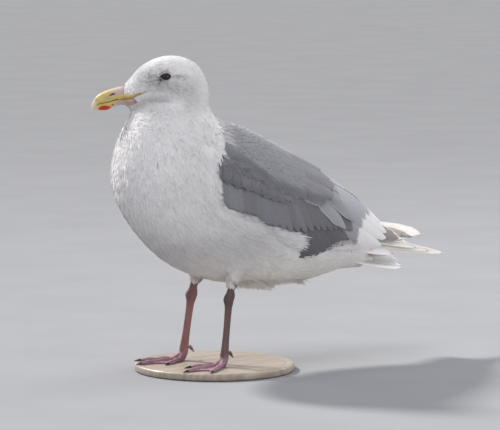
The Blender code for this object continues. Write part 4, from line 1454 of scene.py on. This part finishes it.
def build_gape(material):
    """The bare edges of both mandibles, which run back over the cheeks to the corners of the mouth."""
    face = Surface(*merged_shell(("head", "bill_upper", "bill_lower"), 1.3, 0.3))
    face.smooth(4)
    face.swell(cheek_form(face.points) - 0.12)
    all_points, all_colours, all_faces = [], [], []
    sheet = grid_faces(GAPE_ROWS, GAPE_COLUMNS)
    for _, side in SIDES:
        way = turned_way(0, -side, 0)
        for upper, start in GAPE_STARTS:
            u = np.linspace(start, GAPE_END, GAPE_COLUMNS)
            first = 0.12 + 0 * u if upper else lower_bare_top(u)
            last = 0.12 + upper_bare_height(u) if upper else -LOWER_BARE + 0 * u
            front = step(55, 49, u)
            for v in np.linspace(0, 1, GAPE_ROWS):
                above = first + (last - first) * v
                starts = turned(np.stack([MOUTH_FROM - u, CAST_SIDE * side + 0 * u, gape_line(u) + above], 1))
                hits = np.array([face.cast(start, way) or start + way * MISSED for start in starts])
                places, normals = face.nearest(hits)
                bulge = (0.5 * math.sin(math.pi * (0.14 + 0.8 * v)) + 0.2) * step(10, 24, u) * front
                bulge = bulge - 0.5 * (1 - front)
                points = places + normals * bulge[:, None]
                if upper:
                    colour = blend(linear(196, 172, 96), linear(140, 84, 74), step(32, 24, u))
                    colour = blend(colour, linear(150, 128, 108), 0.45 * step(0.55, 0.95, v))
                else:
                    colour = blend(linear(182, 152, 146), linear(140, 80, 80), step(38, 33, u) * 0.6)
                colour = blend(colour, bill_colours(points), step(45, 52, u))
                # painted shade: a dark line along the mouth line, where the mandibles meet
                rim = step(0.75, 0.25, np.abs(above)) * (1 - 0.6 * step(46, 52, u))
                all_points.append(points)
                all_colours.append(blend(colour, linear(92, 42, 36), rim))
            own = sheet if upper == (side > 0) else sheet[:, ::-1]
            all_faces.append(own + len(all_faces) * GAPE_ROWS * GAPE_COLUMNS)
    new_piece("gape_edges", np.concatenate(all_points), np.concatenate(all_faces), material,
              colours=np.concatenate(all_colours))


# ---------------------------------------------------------------- eyes


def ring_faces(rows, columns, side):
    """Faces of rings that turn the other way on the right-hand side."""
    faces = grid_faces(rows, columns, closed=True)
    return faces if side < 0 else faces[:, ::-1]


BALL_RINGS, BALL_TURNS = 40, 64
LID_RINGS, LID_TURNS = 12, 72
LID_LENGTH, LID_HEIGHT, LID_RIM = 4.6, 3.8, 1.9  # half its opening's length and height, and its own width
CORNEA = 0.035  # how far it stands out of the ball, as a share of the radius
PUPIL_DARK = 0.004


def build_eyes():
    gloss = eye_material()
    lid_material = horn_material("eyelid_skin", 0.5, 0.7, 600, 0.5)
    for name, side in SIDES:
        low, high = box("eye_" + name)
        centre, radius = (low + high) / 2, (high[2] - low[2]) / 2
        out, ahead = turned_way(0, side, 0), turned_way(-1, 0, 0)

        # the ball, as rings from its outermost point inward
        lat, lon = np.meshgrid(
            np.linspace(0.0, math.pi, BALL_RINGS), np.linspace(0, FULL_TURN, BALL_TURNS, endpoint=False), indexing="ij"
        )
        cornea = 1 + CORNEA * np.exp(-((lat / 0.5) ** 2))
        local = np.stack([np.sin(lat) * np.cos(lon), np.sin(lat) * np.sin(lon), np.cos(lat)], -1) * cornea[..., None]
        points = centre + radius * (local[..., :1] * ahead + local[..., 1:2] * UP + local[..., 2:] * out)
        ring = np.sin(lat)
        colour = blend(linear(36, 23, 18), PUPIL_DARK, step(0.44, 0.38, ring) * (lat < 1.6))
        colour = blend(colour, linear(24, 16, 14), step(0.68, 0.80, ring))
        piece = new_piece(
            "eyeball_" + name, points.reshape(-1, 3), ring_faces(BALL_RINGS, BALL_TURNS, side), gloss,
            colours=colour.reshape(-1, 3),
        )
        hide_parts("eye_" + name)

        # the lid: an almond ring from the ball out to the skin, drawn out to a corner ahead
        turns = np.linspace(0, FULL_TURN, LID_TURNS, endpoint=False)
        c, s = np.cos(turns), np.sin(turns)
        shares = np.linspace(0, 1, LID_RINGS)
        corner = 1.9 * np.maximum(c, 0) ** 7 + 0.7 * np.maximum(-c, 0) ** 9
        points = np.empty((LID_RINGS, LID_TURNS, 3))
        for row, share in zip(points, shares):
            grow = share * LID_RIM
            a = (LID_LENGTH + corner + grow) * c - 0.35
            b = (LID_HEIGHT + grow) * s - 0.45 * np.maximum(c, 0) ** 6
            on_ball = np.sqrt(np.maximum((radius + 0.12) ** 2 - np.hypot(a, b) ** 2, 0))
            flat = centre + a[:, None] * ahead + b[:, None] * UP
            on_skin = np.array([(np.array(outer.cast(place, -out)) - centre) @ out for place in flat + 30 * out])
            sink = 0.30 - 0.85 * step(0.55, 1.0, share)
            ridge = 0.45 * math.sin(math.pi * min(share * 1.4, 1.0))
            row[:] = flat + (np.maximum(on_ball, on_skin + sink) + ridge)[:, None] * out
        for _ in range(2):
            points[1:-1] = evened(points)
            points = (np.roll(points, 1, 1) + 2 * points + np.roll(points, -1, 1)) / 4
        points = points.reshape(-1, 3)
        plumage = plumage_and_shade(points).reshape(LID_RINGS, LID_TURNS, 3) * (0.85 - 0.4 * np.maximum(s, 0))[:, None]
        colour = blend(linear(48, 34, 35), linear(132, 98, 98), step(0.06, 0.28, shares[:, None]))
        colour = blend(colour, plumage, step(0.25, 0.45, shares[:, None]))
        new_piece(
            "eyelid_" + name, points, ring_faces(LID_RINGS, LID_TURNS, side), lid_material,
            colours=colour.reshape(-1, 3),
        )


# ---------------------------------------------------------------- legs and base

SCUTE_LENGTH, TOE_RING_LENGTH = 2.9, 2.3
WEB_WAVES, FAN_FOLDS = 9, 46
JOINT_HEIGHT, JOINT_REACH = 78.5, 5.0
# painted light and shade: the shins are one skin, painted darker on the near one, in shade, and lighter on the far one
SHIN = {"left": (114, 90, 88), "right": (156, 112, 110)}  # the far shin is redder in the photo
DARK_CLAW, PALE_CLAW = (30, 25, 24), (150, 134, 112)


def build_legs():
    material = leg_material("leg_skin")
    for name, side in SIDES:
        nodes = ("shank_" + name, "foot_" + name, "hind_toe_" + name)
        leg = Surface(*merged_shell(nodes, 0.62, 0.22))
        leg.smooth(5)
        p, facing = leg.points, leg.normals[:, 0]
        _, foot_high = box("foot_" + name)
        beyond, beside = p[:, 0] - (foot_high[0] - 5), p[:, 1] - side * LEG_SIDE  # from the heel
        height = p[:, 2]
        scute = 0.5 - 0.5 * np.cos(height * FULL_TURN / SCUTE_LENGTH)
        plates = step(10, 18, height) * step(-0.2, -0.8, facing) * (scute**0.5 - 0.6) * 0.22
        on_toe = (1 - step(5, 9, height)) * step(0.2, 0.8, leg.normals[:, 2])
        rings = (0.5 - 0.5 * np.cos(np.hypot(beyond, beside) * FULL_TURN / TOE_RING_LENGTH)) ** 0.5 - 0.6
        plates += on_toe * rings * 0.26 * step(2.4, 3.6, height)
        web = (1 - step(1.9, 2.6, height)) * on_toe
        rng = np.random.default_rng(SEED)
        folds = np.zeros(len(p))
        for _ in range(WEB_WAVES):
            wave = rng.normal(0, 1, 2)
            folds += np.sin(p[:, :2] @ (wave * 0.55) + rng.uniform(0, 6.3)) / WEB_WAVES
        fan = np.sin(np.arctan2(beside, -beyond) * FAN_FOLDS)
        # the heel joint's knob stands out in front
        knob = np.exp(-((height - JOINT_HEIGHT) / JOINT_REACH) ** 2)
        knob = knob * (1.9 * step(0.0, -0.8, facing) - 0.8 * step(0.2, 0.8, facing))
        moved = plates + web * (folds * 0.35 + fan * 0.10) + knob
        leg.swell(moved)
        leg.points[:, 2] = np.maximum(leg.points[:, 2], 0.0)
        # painted shade: the shank is darker at its top, under the thigh's feathers
        colour = alike(linear(*SHIN[name]), len(p)) * (1 - step(60, 74, height) * 0.25)[:, None]
        colour = blend(colour, linear(158, 122, 134), step(16, 6, height))
        # painted highlight: the web is a lighter pink on its raised folds
        tone = (0.5 + 0.5 * np.clip(folds * 2.2 + fan * 0.3, -1, 1)) * web
        colour = blend(colour, linear(206, 172, 176), tone * 0.6)
        # darker in the grooves between the scales, as dark joints, and in the web's troughs, as painted shade
        colour = colour * (1 - np.clip((knob - moved) * 1.6, 0, 0.45))[:, None]
        piece = new_piece("leg_" + name, leg.points, leg.faces, material, colours=np.clip(colour, 0, 1))
        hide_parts(*nodes)
    claws = horn_material("claw_horn", 0.28, 0.42, 400, 0.2)
    for name, _ in SIDES:
        for toe in ("inner", "middle", "outer", "hind"):
            node = f"claw_{toe}_{name}"
            surface = Surface(*refined(node, 2))
            colour = alike(linear(*(PALE_CLAW if toe == "hind" else DARK_CLAW)), len(surface.points))
            piece = new_piece(node + "_horn", surface.points, surface.faces, claws, colours=colour)
            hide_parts(node)


BASE_TURNS = 160


def build_base():
    """The turned board: the solid's size, with a rounded rim and a shallow groove."""
    low, high = box("stand_base")
    centre = np.array([*(low + high)[:2] / 2, low[2]])
    radius, height = (high[0] - low[0]) / 2, high[2] - low[2]
    # how far in from the rim and down from the top, from the rounded rim over the groove
    top = ((0, 2.6), (0.4, 1.2), (1.5, 0.3), (3, 0), (8, 0), (8.6, 0.5), (9.6, 0.5), (10.2, 0))
    profile = [(0.01, 0), (radius - 4, 0), (radius - 1.6, 0.3), (radius - 0.4, 1.2), (radius, 2.6)]
    profile += [(radius - inward, height - down) for inward, down in top]
    profile += [(r, height) for r in np.linspace(radius - 11, 0.01, 9)]
    turns = np.linspace(0, FULL_TURN, BASE_TURNS, endpoint=False)
    points = np.array([[(r * math.cos(t), r * math.sin(t), z) for t in turns] for r, z in profile]) + centre
    faces = grid_faces(len(profile), BASE_TURNS, closed=True)
    piece = new_piece("turned_base", points.reshape(-1, 3), faces, wood_material())
    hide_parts("stand_base")


# ---------------------------------------------------------------- studio


def area_light(name, place, target, size, power, colour, spread=math.pi):
    light = bpy.data.lights.new(name, "AREA")
    light.shape, light.size, light.energy, light.color = "DISK", size, power, colour
    light.spread = spread
    obj = linked(name, light)
    obj.location = place
    obj.rotation_euler = (Vector(target) - Vector(place)).to_track_quat("-Z", "Y").to_euler()


def sun_light(toward, strength, softness, colour):
    """Even light over the whole floor, from a direction."""
    light = bpy.data.lights.new("sun", "SUN")
    light.energy, light.angle, light.color = strength, math.radians(softness), colour
    linked("sun", light).rotation_euler = (-toward).to_track_quat("-Z", "Y").to_euler()


FLOOR_REACH, FLOOR_DROP = 30.0, 0.0002  # m
FLOOR_SIDES = 64
# The camera's axes, its distance and the width of what it sees, in mm.
RIGHT = np.array([0.788, -0.616, 0])
FORWARD = np.array([0.616 * 0.9945, 0.788 * 0.9945, -0.1045])
CAMERA_UP = np.array([0.616 * 0.1045, 0.788 * 0.1045, 0.9945])
DISTANCE, PICTURE_WIDTH = 4000.0, 590


def build_studio():
    target = RIGHT * 55.5 + CAMERA_UP * 175.8 - FORWARD * 17
    camera = bpy.data.cameras.new("camera")
    camera.lens, camera.sensor_width = 36 * DISTANCE / PICTURE_WIDTH, 36
    camera.clip_end = 100
    view = linked("camera", camera)
    view.location = ORIGIN + (target - FORWARD * DISTANCE) * MM
    view.rotation_euler = Vector(FORWARD).to_track_quat("-Z", "Y").to_euler()
    bpy.context.scene.camera = view

    floor = bpy.data.meshes.new("floor")
    turns = np.linspace(0, FULL_TURN, FLOOR_SIDES, endpoint=False)
    corners = [(FLOOR_REACH * math.cos(t), FLOOR_REACH * math.sin(t), -FLOOR_DROP) for t in turns]
    floor.from_pydata(corners, [], [range(FLOOR_SIDES)])
    floor.materials.append(floor_material())
    linked("studio_floor", floor)

    middle, rear = Vector((0, 0, 0.2)), Vector((0.25, 0, 0.11))
    away = Vector((FORWARD[0], FORWARD[1], 0)).normalized()
    left = -Vector((RIGHT[0], RIGHT[1], 0)).normalized()
    up = Vector((0, 0, 1))
    sun_light(left * 1.3 + away * 1.15 + up * 1.5, 4.2, 8, (1, 0.965, 0.92))
    area_light("top", middle + up * 2.4 - away * 0.5 + left * 0.6, middle, 2.0, 26, (0.97, 0.98, 1))
    area_light("back", middle - left * 1.6 + away * 1.2 + up * 1.3, middle, 0.9, 16, (1, 0.98, 0.95))
    area_light("fill", middle - away * 2.2 + left * 0.8 + up * 0.35, middle, 2.2, 7, (1, 0.995, 0.99))
    area_light("low", rear - away * 1.3 - left * 1.2 + up * 0.25, rear, 0.5, 1.4, (1, 0.99, 0.975), math.radians(80))
    world = bpy.data.worlds.new("studio")
    world.use_nodes = True
    sky = world.node_tree.nodes["Background"].inputs
    sky["Color"].default_value, sky["Strength"].default_value = (0.88, 0.90, 0.95, 1), 0.60
    bpy.context.scene.world = world
    bpy.context.scene.view_settings.view_transform = "Standard"


# ---------------------------------------------------------------- all of it

outer.swell(cheek_form(outer.points))
build_skin()
build_white_coat()
build_loose_tufts()
for name, side in SIDES:
    build_wing(name, side)
vane_material("pale_vanes", 0.6)
build_primaries("left", -1, LEFT_PRIMARIES)
build_primaries("right", 1, RIGHT_PRIMARIES)
build_tail()
build_gape(build_bill())
build_eyes()
build_legs()
build_base()
build_studio()
